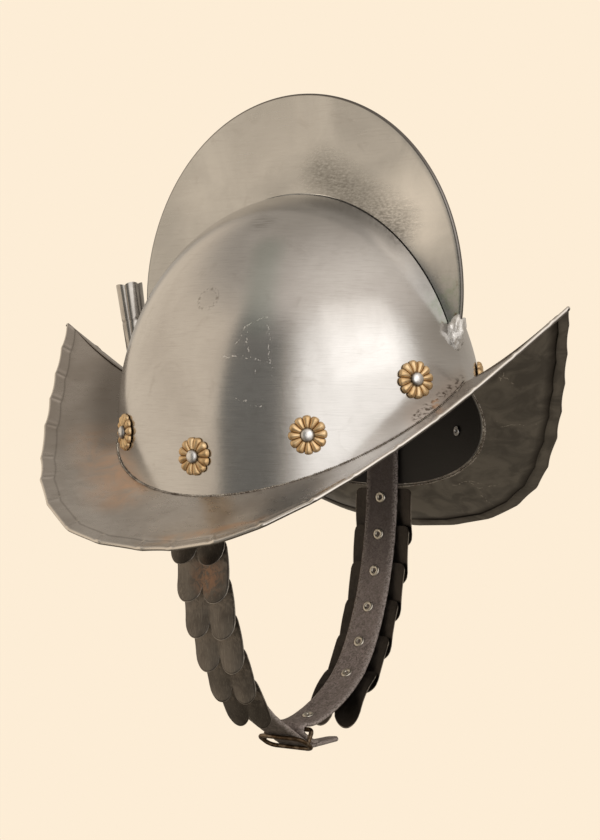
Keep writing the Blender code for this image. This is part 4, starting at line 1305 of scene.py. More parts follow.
def left_strap_points():
    """The left strap: the hanging run, drawn inside the tongue, then folded round the middle bar."""
    middle, along, outward = buckle_place()
    bar = middle - outward * bar_inset()
    bend = BUCKLE_WIRE_RADIUS + GAP + LEATHER_THICKNESS / 2
    start = Vector((bar.x, bar.z)) - Vector((outward.x, outward.z)) * bend
    points = []
    for x, z in hanging_points(1):
        if x <= MERGE_START_X:
            break
        points.append((x, z))
    last, before = Vector(points[-1]), Vector(points[-2])
    leave = (last - before).normalized()
    arrive = -Vector((along.x, along.z))
    span = (last - start).length
    leave_to = last + leave * span * MERGE_LEAVE_SHARE
    arrive_from = start - arrive * span * MERGE_ARRIVE_SHARE
    for i in range(1, MERGE_STEPS + 1):
        t = i / MERGE_STEPS
        s = 1 - t
        spot = last * s ** 3 + leave_to * 3 * t * s * s + arrive_from * 3 * t * t * s + start * t ** 3
        points.append((spot.x, spot.y))
    inward = -Vector((outward.x, outward.z))
    centre = Vector((bar.x, bar.z))
    for i in range(1, FOLD_STEPS + 1):
        angle = math.pi * i / FOLD_STEPS
        spot = centre + inward * bend * math.cos(angle) + arrive * bend * math.sin(angle)
        points.append((spot.x, spot.y))
    tongue = tongue_points()
    total = len([spot for spot in tongue if spot[0] < BUCKLE_X])
    reached = sum(math.dist(a, b) for a, b in zip(tongue[:total], tongue[1:total])) + math.dist(
        tongue[total - 1], (middle.x, middle.z))
    inset = LEATHER_THICKNESS + FOLD_CLEARANCE
    for i in range(1, FOLD_STEPS + 1):
        (x, z), (dx, dz) = along_path(tongue, reached + FOLD_LENGTH * i / FOLD_STEPS)
        points.append((x - dz * inset, z + dx * inset))
    return points


LEATHER_STEP = 0.0014
LEATHER_ROWS = 6
LEATHER_SOFT_EDGE = 0.0007
LEATHER_EDGE_INSET = 0.0002
LEATHER_FACE_INSET = 0.00005
LEATHER_UNEVEN = 0.0003
LEATHER_UNEVEN_STEP = 0.35
LEATHER_SHARP_DEG = 70.0
TONGUE_TIP_LENGTH = 0.004
TONGUE_TIP_SHARE = 0.12


def resampled(points):
    """Smooth a run of (x, z) points and space them evenly."""
    total = sum(math.dist(a, b) for a, b in zip(points, points[1:]))
    count = int(total / LEATHER_STEP)
    spots = [Vector(along_path(points, total * i / count)[0]) for i in range(count + 1)]
    for _ in range(SMOOTHING_ROUNDS):
        middle = [(a + b * 2 + c) / 4 for a, b, c in zip(spots, spots[1:], spots[2:])]
        spots = [spots[0], *middle, spots[-1]]
    return spots


def make_strap(name, points, pointed, material):
    """A leather strip with softened edges, slightly uneven, its flesh side marked for the finish."""
    spots = resampled(points)
    plane = loop_plane_y()
    half_thick = LEATHER_THICKNESS / 2
    inner_face = -1 if pointed else 1
    noise_row = 3.0 if pointed else 9.0
    rings, flesh, edges = [], [], []
    for i, here in enumerate(spots):
        before, after = spots[max(i - 1, 0)], spots[min(i + 1, len(spots) - 1)]
        direction = (after - before).normalized()
        normal = Vector((direction.y, -direction.x))
        width = LEATHER_WIDTH
        neck_x = BUCKLE_X + BUCKLE_LENGTH / 2
        if pointed and here.x > neck_x:
            share = (here.x - neck_x) / (TONGUE_END_X - neck_x)
            narrow = TONGUE_NECK_WIDTH + (TONGUE_END_WIDTH - TONGUE_NECK_WIDTH) * share
            width = narrow + (LEATHER_WIDTH - narrow) * max(1.0 - share * TONGUE_STEPS, 0.0)
            tip = (TONGUE_END_X - here.x) / TONGUE_TIP_LENGTH + TONGUE_TIP_SHARE
            width *= math.sqrt(max(min(tip, 1.0), 0.0))
        uneven = LEATHER_UNEVEN * noise.noise(Vector((i * LEATHER_UNEVEN_STEP, noise_row, 0.0)))
        half = width / 2 - LEATHER_EDGE_INSET + uneven
        ring, flesh_row, edge_row = [], [], []
        for face in (1, -1):
            for k in range(-LEATHER_ROWS, LEATHER_ROWS + 1):
                row = face * k
                across = half * row / LEATHER_ROWS
                thick = half_thick
                if abs(row) == LEATHER_ROWS:
                    thick = half_thick - LEATHER_SOFT_EDGE
                elif abs(row) == LEATHER_ROWS - 1:
                    across = math.copysign(half - LEATHER_SOFT_EDGE, row)
                spot = here + normal * (face * (thick - LEATHER_FACE_INSET))
                ring.append(Vector((spot.x, plane + across, spot.y)))
                flesh_row.append(1.0 if face == inner_face else 0.0)
                edge_row.append(1.0 if abs(row) >= LEATHER_ROWS - 1 else 0.0)
        rings.append(ring)
        flesh.append(flesh_row)
        edges.append(edge_row)
    stored = {"flesh": flesh, "rim": edges}
    return lofted(f"leather_{name}", rings, material, sharp_deg=LEATHER_SHARP_DEG, attributes=stored)


def scale_pitch(side):
    return SCALE_PITCH_RIGHT if side < 0 else SCALE_PITCH_LEFT


def scale_below_rivet(side):
    return scale_pitch(side) + SCALE_PAST_NEXT_RIVET


def rivet_frame(points, side, number):
    """Frame on the leather's outer face at a numbered rivet: Z outward, Y up the strap."""
    start = path_distance(points, BASE_SIDE_Z - SCALE_FIRST_BELOW_BASE)
    (x, z), (dx, dz) = along_path(points, start + scale_pitch(side) * number)
    outward = Vector((-side * dz, 0.0, side * dx))
    spot = Vector((x, loop_plane_y(), z)) + outward * LEATHER_THICKNESS / 2
    return facing(spot, outward, -Vector((dx, 0.0, dz)))


SCALE_RIVET_SEAT = SCALE_THICKNESS + 2 * GAP + SCALE_SEAT


def scale_bend(down, side):
    """Share of a scale's lift reached at a distance from its top; it starts below its own rivet."""
    starts = SCALE_ABOVE_RIVET + STRAP_RIVET_HEAD_RADIUS
    length = SCALE_ABOVE_RIVET + scale_below_rivet(side)
    return (max(down - starts, 0.0) / (length - starts)) ** 2


def scale_lift(points, side, number):
    """How far a scale's end rises so that it clears the rim of the next rivet's head."""
    to_scale = rivet_frame(points, side, number).inverted() @ rivet_frame(points, side, number + 1)
    lifts = []
    for way in (-1, 1):
        rim = to_scale @ Vector((0, way * STRAP_RIVET_HEAD_RADIUS, SCALE_RIVET_SEAT + STRAP_RIVET_HEAD))
        lifts.append(rim.z / scale_bend(SCALE_ABOVE_RIVET - rim.y, side))
    return max(lifts)


def scale_end(across, side):
    """How far a scale reaches below its rivet, at a share -1 to 1 of its half width."""
    lobe = 1.0 - abs(abs(across) * 2.0 - 1.0)
    round_end = math.sqrt(max(1.0 - (1.0 - lobe) ** 2, 0.0))
    return scale_below_rivet(side) - SCALE_NOTCH * (1.0 - round_end)


SCALE_ROWS = 30
SCALE_COLUMNS = 36
SCALE_ROW_POWER = 1.25
SCALE_COLUMN_CROWDING = 0.35
SCALE_LIP = 0.0002
SCALE_LIP_WIDTH = 0.0012
SCALE_RIM_WIDTH = 0.0013
SCALE_SHARP_DEG = 50.0
SCALE_SEED_RIGHT = 3
SCALE_SEED_LEFT = 7


def make_scale(name, side, place, width, lift, tone, material):
    """A two-lobed plate with rounded shoulders; rim, back (for its painted shade), way down and tone are
    stored for the finish.
    """
    length = SCALE_ABOVE_RIVET + scale_below_rivet(side)
    rows, columns = SCALE_ROWS, SCALE_COLUMNS
    layers, rims, downs, shaded_backs = [], [], [], []
    for top in (True, False):
        for i in range(rows + 1):
            share = 1.0 - (1.0 - i / rows) ** SCALE_ROW_POWER
            for j in range(columns + 1):
                even = 2.0 * j / columns - 1.0
                across = even + (math.sin(math.pi / 2 * even) - even) * SCALE_COLUMN_CROWDING
                shoulder = max((abs(across) * width / 2 - (width / 2 - SCALE_CORNER)) / SCALE_CORNER, 0.0)
                start = SCALE_CORNER * (1.0 - math.sqrt(max(1.0 - shoulder ** 2, 0.0)))
                reach = SCALE_ABOVE_RIVET + scale_end(across, side)
                down = start + (reach - start) * share
                dome = SCALE_DOME * math.sin(math.pi * abs(across)) * (down / length)
                margin = min((1.0 - abs(across)) * width / 2, reach - down)
                lip = SCALE_LIP * max(1.0 - margin / SCALE_LIP_WIDTH, 0.0) ** 2
                sheet = SCALE_THICKNESS - lip if top else lip / 2
                high = GAP + lift * scale_bend(down, side) + dome + sheet
                layers.append((across * width / 2, SCALE_ABOVE_RIVET - down, high))
                rims.append(max(1.0 - margin / SCALE_RIM_WIDTH, 0.0))
                downs.append(down / length)
                shaded_backs.append(0.0 if top else 1.0)
    count, wide = (rows + 1) * (columns + 1), columns + 1
    faces = []
    for i in range(rows):
        for j in range(columns):
            a = i * wide + j
            faces.append((a, a + wide, a + wide + 1, a + 1))
            faces.append((count + a, count + a + 1, count + a + wide + 1, count + a + wide))
    border = ([j for j in range(wide)] + [i * wide + columns for i in range(1, rows + 1)]
              + [rows * wide + j for j in range(columns - 1, -1, -1)]
              + [i * wide for i in range(rows - 1, 0, -1)])
    for a, b in zip(border, border[1:] + border[:1]):
        faces.append((a, b, count + b, count + a))
    item = mesh_object(name, layers, faces, material)
    for label, values in (("rim", rims), ("down", downs), ("back", shaded_backs), ("tone", [tone] * len(rims))):
        store(item, label, values)
    item.data.transform(place)
    return tidy_faces(item, SCALE_SHARP_DEG)


def make_scales(side_name, side, points, material):
    tones = random.Random(SCALE_SEED_LEFT if side > 0 else SCALE_SEED_RIGHT)
    first, last = SCALE_WIDTHS_RIGHT if side < 0 else SCALE_WIDTHS_LEFT
    for i in range(SCALES):
        place = rivet_frame(points, side, i)
        lift = scale_lift(points, side, i)
        if side > 0 and i == SCALES - 1:
            lift = SCALE_END_FLARE
        width = first + (last - first) * i / (SCALES - 1)
        item = make_scale(f"plate_{side_name}_{i + 1}", side, place, width, lift, tones.random(), material)
        dress(item, "blackened_steel", f"scale_{side_name}_{i + 1}")


EYELET_BORE_SHARE = 0.92
EYELET_BORE_DEPTH = 0.0022
EYELET_ROLL_STEPS = 8
EYELET_ROLL_POWER = 0.7
EYELET_ROLL_SINK = 0.0004
EYELET_SHANK_END = 0.0006


def eyelet_shape(name, seat, material):
    """A flat head, a shank and a rolled, open end."""
    back = -LEATHER_THICKNESS - GAP - FACET_SAG
    radius, roll = STRAP_RIVET_HEAD_RADIUS, STRAP_RIVET_HEAD
    bore = STRAP_RIVET_RADIUS * EYELET_BORE_SHARE
    profile = [(0, seat + roll), (radius * 0.8, seat + roll), (radius, seat),
               (STRAP_RIVET_RADIUS, seat), (STRAP_RIVET_RADIUS, back + EYELET_SHANK_END)]
    for k in range(EYELET_ROLL_STEPS, -1, -1):
        turn = math.pi * k / EYELET_ROLL_STEPS
        profile.append((bore + (radius - bore) * (0.5 - 0.5 * math.cos(turn)),
                        back + EYELET_ROLL_SINK - roll * math.sin(turn) ** EYELET_ROLL_POWER))
    profile += [(bore, back + EYELET_BORE_DEPTH), (0, back + EYELET_BORE_DEPTH)]
    # painted shade low on the shank and in the bore
    painted_shade = [0.0] * 4 + [0.5] + [0.0] * (EYELET_ROLL_STEPS + 1) + [1.0, 1.0]
    return turned_shape(name, profile, painted_shade, material)


def make_eyelets(right_points, left_points, material, tree):
    """Tubular rivets through scales and leather, and a lone one through the leather only."""
    for label, lone in (("eyelets", False), ("eyelet_bare", True)):
        shape = eyelet_shape("eyelet shape", GAP if lone else SCALE_RIVET_SEAT, material)
        if lone:
            frames = [rivet_frame(left_points, 1, SCALES - 1 + LONE_RIVET_PITCHES_ON)]
            nodes = [f"strap_rivet_left_{SCALES + 1}"]
        else:
            frames = [rivet_frame(points, side, i) for points, side in ((right_points, -1), (left_points, 1))
                      for i in range(SCALES)]
            nodes = [f"strap_rivet_{side}_{i + 1}" for side in ("right", "left") for i in range(SCALES)]
        dress(on_frames(label, shape, frames, material, tree), "eyelet_metal", *nodes)


def wire_rings(points, radius, sides, closed, flatten):
    """Rings of a round wire along points, flattened across its second direction."""
    rings = []
    count = len(points)
    for i, point in enumerate(points):
        before = points[i - 1] if closed or i > 0 else point
        after = points[(i + 1) % count] if closed or i < count - 1 else point
        direction = (after - before).normalized()
        bends = Vector((0, 0, 1)) if abs(direction.z) < 0.9 else Vector((1, 0, 0))
        x = bends.cross(direction).normalized()
        y = direction.cross(x)
        rings.append([point + x * radius * math.cos(2 * math.pi * k / sides)
                      + y * radius * flatten * math.sin(2 * math.pi * k / sides) for k in range(sides)])
    return rings


def make_buckle(material):
    """A rounded frame outside the tongue with its middle bar inside."""
    middle, along, outward = buckle_place()
    half_width = LEATHER_WIDTH / 2 + BUCKLE_SIDE_CLEARANCE + BUCKLE_WIRE_RADIUS
    half_length = BUCKLE_LENGTH / 2 - BUCKLE_WIRE_RADIUS
    corner = BUCKLE_CORNER_RADIUS
    height = LEATHER_THICKNESS / 2 + GAP + BUCKLE_WIRE_RADIUS
    outline = []
    for cx, cy, start in ((half_length - corner, half_width - corner, 0.0),
                          (corner - half_length, half_width - corner, 90.0),
                          (corner - half_length, corner - half_width, 180.0),
                          (half_length - corner, corner - half_width, 270.0)):
        for step in range(13):
            angle = math.radians(start + 7.5 * step)
            outline.append(Vector((cx + corner * math.cos(angle), cy + corner * math.sin(angle), height)))
    loop = lofted("buckle loop", wire_rings(outline, BUCKLE_WIRE_RADIUS, 16, True, 0.9), material, True)
    depth = -bar_inset()
    bend = 0.0024
    bar = [Vector((0, half_width, height))]
    bar += [Vector((0, half_width - bend + bend * math.cos(math.radians(turn)),
                    depth + bend - bend * math.sin(math.radians(turn)))) for turn in range(0, 91, 15)]
    bar += [Vector((0, -spot.y, spot.z)) for spot in reversed(bar)]
    staple = lofted("buckle bar", wire_rings(bar, BUCKLE_WIRE_RADIUS * 0.98, 16, False, 1.0), material)
    item = joined("buckle_frame", [loop, staple])
    item.data.transform(Matrix.Translation(middle)
                        @ Matrix((along, Vector((0, 1, 0)), outward)).transposed().to_4x4())
    item.data.shade_smooth()
    return item


# Finishes

def near_spot(graph, place, centre, inner, outer):
    """1 within a distance of a point, falling to 0 at a second one."""
    return graph.rise(graph.vector("DISTANCE", place, centre, "Value"), outer, inner)


def wobbled(graph, place, scale, reach):
    """The place pushed about by noise, for marks that aren't ruled."""
    noisy = {"Vector": place, "Scale": scale, "Detail": 2.0}
    push = graph.node("ShaderNodeTexNoise", inputs=noisy, output="Color")
    push = graph.vector("SUBTRACT", push, (0.5, 0.5, 0.5))
    return graph.vector("ADD", place, graph.vector("MULTIPLY", push, (reach, reach, reach)))


def near_run(graph, place, run, inner, outer):
    """1 along a run of points, falling to 0 at a distance from it."""
    away = graph.off_line(place, run[0], run[1])
    for start, end in zip(run[1:], run[2:]):
        away = away.maths("MINIMUM", away, graph.off_line(place, start, end))
    return graph.rise(away, outer, inner)


def marked(graph, place, find, mark):
    """1 at a mark of the photograph, falling to 0 round it."""
    spots = [find(*spot) for spot in mark.spots]
    if len(spots) == 1:
        return near_spot(graph, place, spots[0], mark.full, mark.gone)
    return near_run(graph, place, spots, mark.full, mark.gone)


def brushed_steel(graph, place, dark, light, brush, turn_deg=(0, 0, 0), cloud_scale=16.0):
    """Satin steel: brush lines along one way, soft clouds and small pits; colour, roughness and relief."""
    lines = graph.grain(graph.stretch(place, brush, turn_deg), 1.0, 4.0, 0.65)
    clouds = graph.grain(place, cloud_scale, 5.0, 0.55, 0.6)
    patches = graph.grain(place, cloud_scale * 3.1, 5.0, 0.62, 1.0)
    specks = graph.rise(graph.grain(place, 1100.0, 2.0, 0.5), 0.74, 0.82)
    colour = graph.mix(graph.rise(clouds, 0.30, 0.70), dark, light)
    colour = graph.mix(graph.rise(lines, 0.50, 0.30, 0.0, 0.13), colour, (0.25, 0.235, 0.22))
    colour = graph.mix(graph.rise(lines, 0.52, 0.72, 0.0, 0.11), colour, (0.86, 0.85, 0.84))
    colour = graph.mix(graph.rise(patches, 0.56, 0.74, 0.0, 0.16), colour, (0.27, 0.24, 0.20))
    colour = graph.mix(specks * 0.22, colour, (0.12, 0.10, 0.085))
    rough = 0.19 + (lines - 0.5) * 0.14 + (0.5 - clouds) * 0.10 + specks * 0.10
    normal = graph.bump(lines + specks * -0.4, 0.000012, 0.5)
    return colour, rough, graph.bump(clouds, 0.0007, 0.28, normal), lines


def bowl_finish(graph, shader, find):
    """The bowl: brushed outside, black within, scratched and stained where the photograph has it."""
    place = graph.place()
    colour, rough, normal, lines = brushed_steel(graph, place, (0.55, 0.54, 0.53), (0.65, 0.645, 0.64),
                                                 BOWL_BRUSH, (3, 5, 0))
    broken = graph.rise(graph.grain(place, 420.0, 2.0, 0.5), 0.40, 0.54)
    shaky = wobbled(graph, place, 260.0, 0.0045)
    for run in BOWL_SCRATCHES:
        line = marked(graph, shaky, find, Mark(run, SCRATCH_FULL, BOWL_SCRATCH_GONE)) * broken
        colour = graph.mix(line * 0.80, colour, (0.95, 0.93, 0.91))
        rough = rough + line * 0.35
    scuffed = marked(graph, place, find, SCUFFED)
    hair = graph.grain(graph.stretch(place, (900, 900, 120), (0, 25, 0)), 1.0, 2.0, 0.5)
    colour = graph.mix(scuffed * graph.rise(hair, 0.60, 0.70) * 0.40, colour, (0.88, 0.87, 0.85))
    away = graph.vector("DISTANCE", place, find(*RING_STAIN), "Value")
    ring = graph.rise(away, *RING_INSIDE) * graph.rise(away, *RING_OUTSIDE)
    dots = graph.rise(graph.grain(place, 620.0, 2.0, 0.5), 0.46, 0.62)
    colour = graph.mix(ring * dots * 0.50, colour, (0.17, 0.15, 0.12))
    colour = graph.mix(graph.rise(away, *RING_MIDDLE) * 0.10, colour, (0.30, 0.28, 0.25))
    colour = graph.mix(marked(graph, place, find, COOL_BAND) * 0.45, colour, (0.36, 0.43, 0.40))
    smudge = marked(graph, place, find, TOP_SMUDGE) * graph.rise(lines, 0.35, 0.60)
    colour = graph.mix(smudge * 0.55, colour, (0.24, 0.23, 0.21))
    flakes = graph.grain(graph.stretch(place, (260, 260, 700), (0, 30, 0)), 1.0, 4.0, 0.6)
    scorch = marked(graph, place, find, JOINT_SCORCH) * graph.rise(flakes, 0.50, 0.60)
    colour = graph.mix(marked(graph, place, find, JOINT_TINT) * 0.30, colour, (0.50, 0.40, 0.32))
    colour = graph.mix(scorch * 0.85, colour, (0.085, 0.062, 0.045))
    copper = marked(graph, place, find, COPPER_SPOT) * graph.rise(flakes, 0.40, 0.55)
    colour = graph.mix(copper * 0.7, colour, (0.66, 0.42, 0.26))
    foot = marked(graph, place, find, COMB_FOOT_SHADE)
    colour = graph.mix(foot * 0.45, colour, (0.34, 0.32, 0.30))
    inner = graph.attribute("inner")
    colour = graph.mix(inner, colour, (0.010, 0.008, 0.007))
    rough = rough + inner * 0.4
    wire(graph, shader, base_color=colour, roughness=rough, metallic=1.0 - inner, normal=normal)


def comb_finish(graph, shader, find):
    """The comb: brushed aslant, with a dark smear, a painted highlight patch, rust at its foot and a painted
    dark reflection along its rim.
    """
    place = graph.place()
    colour, rough, normal, lines = brushed_steel(graph, place, (0.50, 0.50, 0.49), (0.62, 0.62, 0.61),
                                                 COMB_BRUSH, (-38, 0, 0), 22.0)
    # painted highlight: a bright patch standing in for a reflection
    painted_highlight = marked(graph, place, find, COMB_PAINTED_HIGHLIGHT)
    colour = graph.mix(painted_highlight * 0.85, colour, (0.98, 0.965, 0.94))
    smear = marked(graph, place, find, COMB_SMEAR)
    rubbed = graph.grain(graph.stretch(place, (500, 380, 900), (-30, 0, 0)), 1.0, 5.0, 0.7)
    grainy = graph.rise(rubbed * 0.7 + lines * 0.3, 0.34, 0.62)
    colour = graph.mix(smear * grainy * 0.70, colour, (0.20, 0.19, 0.17))
    colour = graph.mix(marked(graph, place, find, COMB_PALE_BAND) * 0.30, colour, (0.74, 0.73, 0.71))
    foot = marked(graph, place, find, COMB_FOOT_RUST)
    patches = graph.grain(place, 160.0, 4.0, 0.6)
    colour = graph.mix(foot * graph.rise(patches, 0.40, 0.60) * 0.55, colour, (0.38, 0.46, 0.36))
    colour = graph.mix(foot * graph.rise(patches, 0.60, 0.68) * 0.80, colour, (0.22, 0.11, 0.05))
    # painted dark reflection along the rounded rim
    rim = graph.attribute("rim")
    colour = graph.mix(rim * 0.80, colour, (0.075, 0.060, 0.050))
    rough = rough + 0.05 + smear * 0.10
    wire(graph, shader, base_color=colour, roughness=rough, metallic=1.0, normal=normal)


def brim_finish(graph, shader, find):
    """The brim: warmer and duller steel, dark and scratched below, with a painted shadow line where the hem
    ends and a painted highlight and shade on its rolled edge.
    """
    place = graph.place()
    colour, rough, normal, _ = brushed_steel(graph, place, (0.46, 0.43, 0.40), (0.60, 0.57, 0.54),
                                             BRIM_BRUSH, (20, 0, 15), 24.0)
    patches = graph.grain(place, 55.0, 5.0, 0.6, 0.8)
    copper = marked(graph, place, find, BRIM_COPPER)
    colour = graph.mix(copper * graph.rise(patches, 0.20, 0.70) * 0.75, colour, (0.80, 0.52, 0.34))
    back = graph.rise(graph.axis(place, 1), 0.085, 0.150)
    colour = graph.mix(back * 0.50, colour, (0.27, 0.23, 0.19))
    # darker beside the joint with the bowl
    colour = graph.mix(marked(graph, place, find, BRIM_JOINT_DARKENING) * 0.60, colour, (0.16, 0.14, 0.12))
    tan = marked(graph, place, find, BRIM_TAN)
    colour = graph.mix(tan * graph.rise(patches, 0.35, 0.60) * 0.60, colour, (0.72, 0.46, 0.28))
    under, line = graph.attribute("under"), graph.attribute("line")
    shaky = wobbled(graph, place, 200.0, 0.0060)
    below = graph.mix(graph.rise(patches, 0.35, 0.65), (0.215, 0.203, 0.190), (0.36, 0.34, 0.315))
    for run in BRIM_SCRATCHES:
        line_near = marked(graph, shaky, find, Mark(run, SCRATCH_FULL, BRIM_SCRATCH_GONE))
        below = graph.mix(line_near * graph.rise(patches, 0.30, 0.50) * 0.75, below, (0.95, 0.90, 0.84))
    colour = graph.mix(graph.rise(under, 0.92, 1.0), colour, below)
    # painted highlight along the top of the rolled edge
    worn = graph.rise(under, 0.02, 0.20) * graph.rise(under, 0.55, 0.35)
    colour = graph.mix(worn * 0.60, colour, (0.88, 0.84, 0.78))
    # painted shade at the outer wrap of the rolled edge
    edge = graph.rise(under, 0.50, 0.65) * graph.rise(under, 1.0, 0.92)
    colour = graph.mix(edge * 0.75, colour, (0.10, 0.085, 0.070))
    # painted shadow in the seam where the hem ends, stronger below
    dark = line * graph.rise(under, -0.2, 0.8, 0.30, 0.85)
    colour = graph.mix(dark, colour, (0.050, 0.042, 0.036))
    rough = rough + 0.10 + graph.rise(under, 0.90, 1.0) * 0.14
    wire(graph, shader, base_color=colour, roughness=rough, metallic=1.0, normal=normal)


def holder_finish(graph, shader):
    place = graph.place()
    colour, rough, normal, _ = brushed_steel(graph, place, (0.38, 0.36, 0.34), (0.56, 0.54, 0.51),
                                             HOLDER_BRUSH, (0, 0, 0), 60.0)
    # painted shade in the flutes, the groove and inside the tube
    hollow = graph.attribute("painted_shade")
    colour = graph.mix(hollow * 0.60, colour, (0.10, 0.085, 0.070))
    wire(graph, shader, base_color=colour, roughness=rough + hollow * 0.15, metallic=1.0, normal=normal)


def gilt_finish():
    """Matte gilt brass with painted shade between the petals and round the rivet."""
    material, graph, shader = new_material("gilt brass")
    place = graph.place()
    cloud = graph.grain(place, 180.0, 4.0, 0.6)
    fine = graph.grain(place, 1500.0, 3.0, 0.6)
    # painted shade between the petals and round the rivet, mottled by the cloud noise
    painted_shade = graph.rise(graph.attribute("painted_shade") + (cloud - 0.5) * 0.35, 0.50, 1.0)
    colour = graph.mix(graph.rise(cloud, 0.3, 0.7), (0.66, 0.45, 0.23), (0.88, 0.67, 0.41))
    colour = graph.mix(painted_shade * 0.80, colour, (0.16, 0.090, 0.040))
    rough = 0.44 + painted_shade * 0.30 + (cloud - 0.5) * 0.16
    normal = graph.bump(fine + cloud * 0.6, 0.00007, 0.7)
    wire(graph, shader, base_color=colour, roughness=rough, metallic=1.0 - painted_shade * 0.5, normal=normal)
    return material


def rivet_finish():
    """Polished on the crown, with painted shade towards the rim of its head, under it and in its bore."""
    material, graph, shader = new_material("rivet steel")
    place = graph.place()
    marks = graph.grain(place, 520.0, 4.0, 0.65, 0.8)
    fine = graph.grain(place, 2200.0, 2.0, 0.6)
    pits = graph.rise(marks, 0.60, 0.72)
    colour = graph.mix(pits, (0.80, 0.80, 0.80), (0.30, 0.28, 0.26))
    # painted shade towards the head's rim, under the head and in the bore
    colour = graph.mix(graph.attribute("painted_shade") * 0.85, colour, (0.070, 0.066, 0.064))
    rough = 0.20 + marks * 0.22 + pits * 0.15
    normal = graph.bump(marks + fine * 0.3, 0.00016, 0.8)
    wire(graph, shader, base_color=colour, roughness=rough, metallic=1.0, normal=normal)
    return material


def weld_finish(name, light, dark):
    material, graph, shader = new_material(name)
    place = graph.place()
    marks = graph.grain(place, 600.0, 5.0, 0.65, 1.0)
    patches = graph.grain(place, 90.0, 4.0, 0.6)
    colour = graph.mix(graph.rise(marks * 0.6 + patches * 0.4, 0.38, 0.62), dark, light)
    rough = 0.38 + marks * 0.30
    normal = graph.bump(marks, 0.0004, 0.9)
    wire(graph, shader, base_color=colour, roughness=rough, metallic=1.0, normal=normal)
    return material


def scale_finish():
    """Blackened steel worn to grey-brown, bright on its rim from wear and a painted highlight, with painted
    shade in the groove inside the rim and on the back, and dust and rust below the scale above.
    """
    material, graph, shader = new_material("blackened steel")
    place = graph.place()
    rim, down, tone = graph.attribute("rim"), graph.attribute("down"), graph.attribute("tone")
    lines = graph.grain(graph.stretch(place, (1500, 1500, 170)), 1.0, 3.0, 0.6)
    clouds = graph.grain(place, 70.0, 5.0, 0.6, 0.5)
    dust = graph.grain(place, 210.0, 5.0, 0.65, 0.8)
    mottled = graph.rise(clouds + tone * 0.30, 0.35, 0.95)
    colour = graph.mix(mottled, (0.110, 0.098, 0.088), (0.225, 0.205, 0.182))
    colour = graph.mix(graph.rise(lines, 0.50, 0.66) * 0.30, colour, (0.36, 0.33, 0.29))
    pale = graph.rise(down, 0.66, 0.34) * graph.rise(dust, 0.42, 0.60)
    colour = graph.mix(pale * 0.60, colour, (0.46, 0.40, 0.34))
    middle = Vector((SCALE_RUST_X, loop_plane_y() - SCALE_RUST_FORWARD, SCALE_RUST_Z))
    seat = near_spot(graph, place, middle, SCALE_RUST_FULL, SCALE_RUST_GONE)
    rust = seat * graph.rise(dust, 0.38, 0.58)
    colour = graph.mix(rust * 0.75, colour, (0.50, 0.28, 0.16))
    # painted shade: the back of each scale near black
    colour = graph.mix(graph.attribute("back") * 0.80, colour, (0.036, 0.031, 0.028))
    # painted shade in the shallow groove inside the rim
    groove = graph.rise(rim, 0.10, 0.45) * graph.rise(rim, 0.80, 0.55)
    colour = graph.mix(groove * 0.55, colour, (0.040, 0.034, 0.030))
    # a bright rim: wear, broken by the dust noise, and a painted highlight
    worn = graph.rise(rim, 0.66, 0.92) * graph.rise(dust, 0.34, 0.54, 0.35, 1.0)
    colour = graph.mix(worn * 0.60, colour, (0.56, 0.52, 0.47))
    rough = 0.44 + (clouds - 0.5) * 0.20 + rust * 0.30 + pale * 0.20 - worn * 0.10
    normal = graph.bump(lines + dust * 0.5, 0.00008, 0.8)
    wire(graph, shader, base_color=colour, roughness=rough, metallic=1.0 - rust * 0.7, normal=normal)
    return material


def leather_finish():
    """Grey-brown leather: rough suede on the flesh side, darker and smoother outside, pale at cut edges."""
    material, graph, shader = new_material("strap leather")
    place = graph.place()
    flesh, rim = graph.attribute("flesh"), graph.attribute("rim")
    nap = graph.grain(place, 900.0, 6.0, 0.72, 0.6)
    tufts = graph.grain(place, 330.0, 5.0, 0.7, 1.2)
    clouds = graph.grain(place, 42.0, 4.0, 0.6)
    mottled = graph.rise(nap * 0.5 + tufts * 0.5, 0.36, 0.64)
    inside = graph.mix(mottled, (0.115, 0.092, 0.084), (0.40, 0.335, 0.31))
    inside = graph.mix(graph.rise(clouds, 0.35, 0.65) * 0.3, inside, (0.27, 0.225, 0.205))
    # painted shade under the brim: the flesh side darkens towards the top
    height = graph.axis(place, 2)
    inside = graph.mix(graph.rise(height, -0.085, -0.005) * 0.80, inside, (0.060, 0.048, 0.044))
    outside = graph.mix(graph.rise(tufts, 0.35, 0.65), (0.075, 0.062, 0.054), (0.20, 0.17, 0.15))
    colour = graph.mix(flesh, outside, inside)
    colour = graph.mix(rim * graph.rise(nap, 0.42, 0.58) * 0.60, colour, (0.52, 0.46, 0.43))
    rough = 0.62 + flesh * 0.30
    height = nap * flesh + tufts * 0.6
    normal = graph.bump(height, 0.00045, 0.9)
    wire(graph, shader, base_color=colour, roughness=rough, metallic=0.0, normal=normal)
    return material


def eyelet_finish():
    material, graph, shader = new_material("eyelet metal")
    place = graph.place()
    marks = graph.grain(place, 700.0, 4.0, 0.6)
    painted_shade = graph.attribute("painted_shade")
    colour = graph.mix(graph.rise(marks, 0.35, 0.65), (0.56, 0.52, 0.44), (0.80, 0.76, 0.68))
    # painted shade in the bore and down the shank
    colour = graph.mix(painted_shade * 0.95, colour, (0.020, 0.015, 0.012))
    rough = 0.34 + marks * 0.20 + painted_shade * 0.2
    normal = graph.bump(marks, 0.00010, 0.7)
    wire(graph, shader, base_color=colour, roughness=rough, metallic=1.0 - painted_shade * 0.4, normal=normal)
    return material


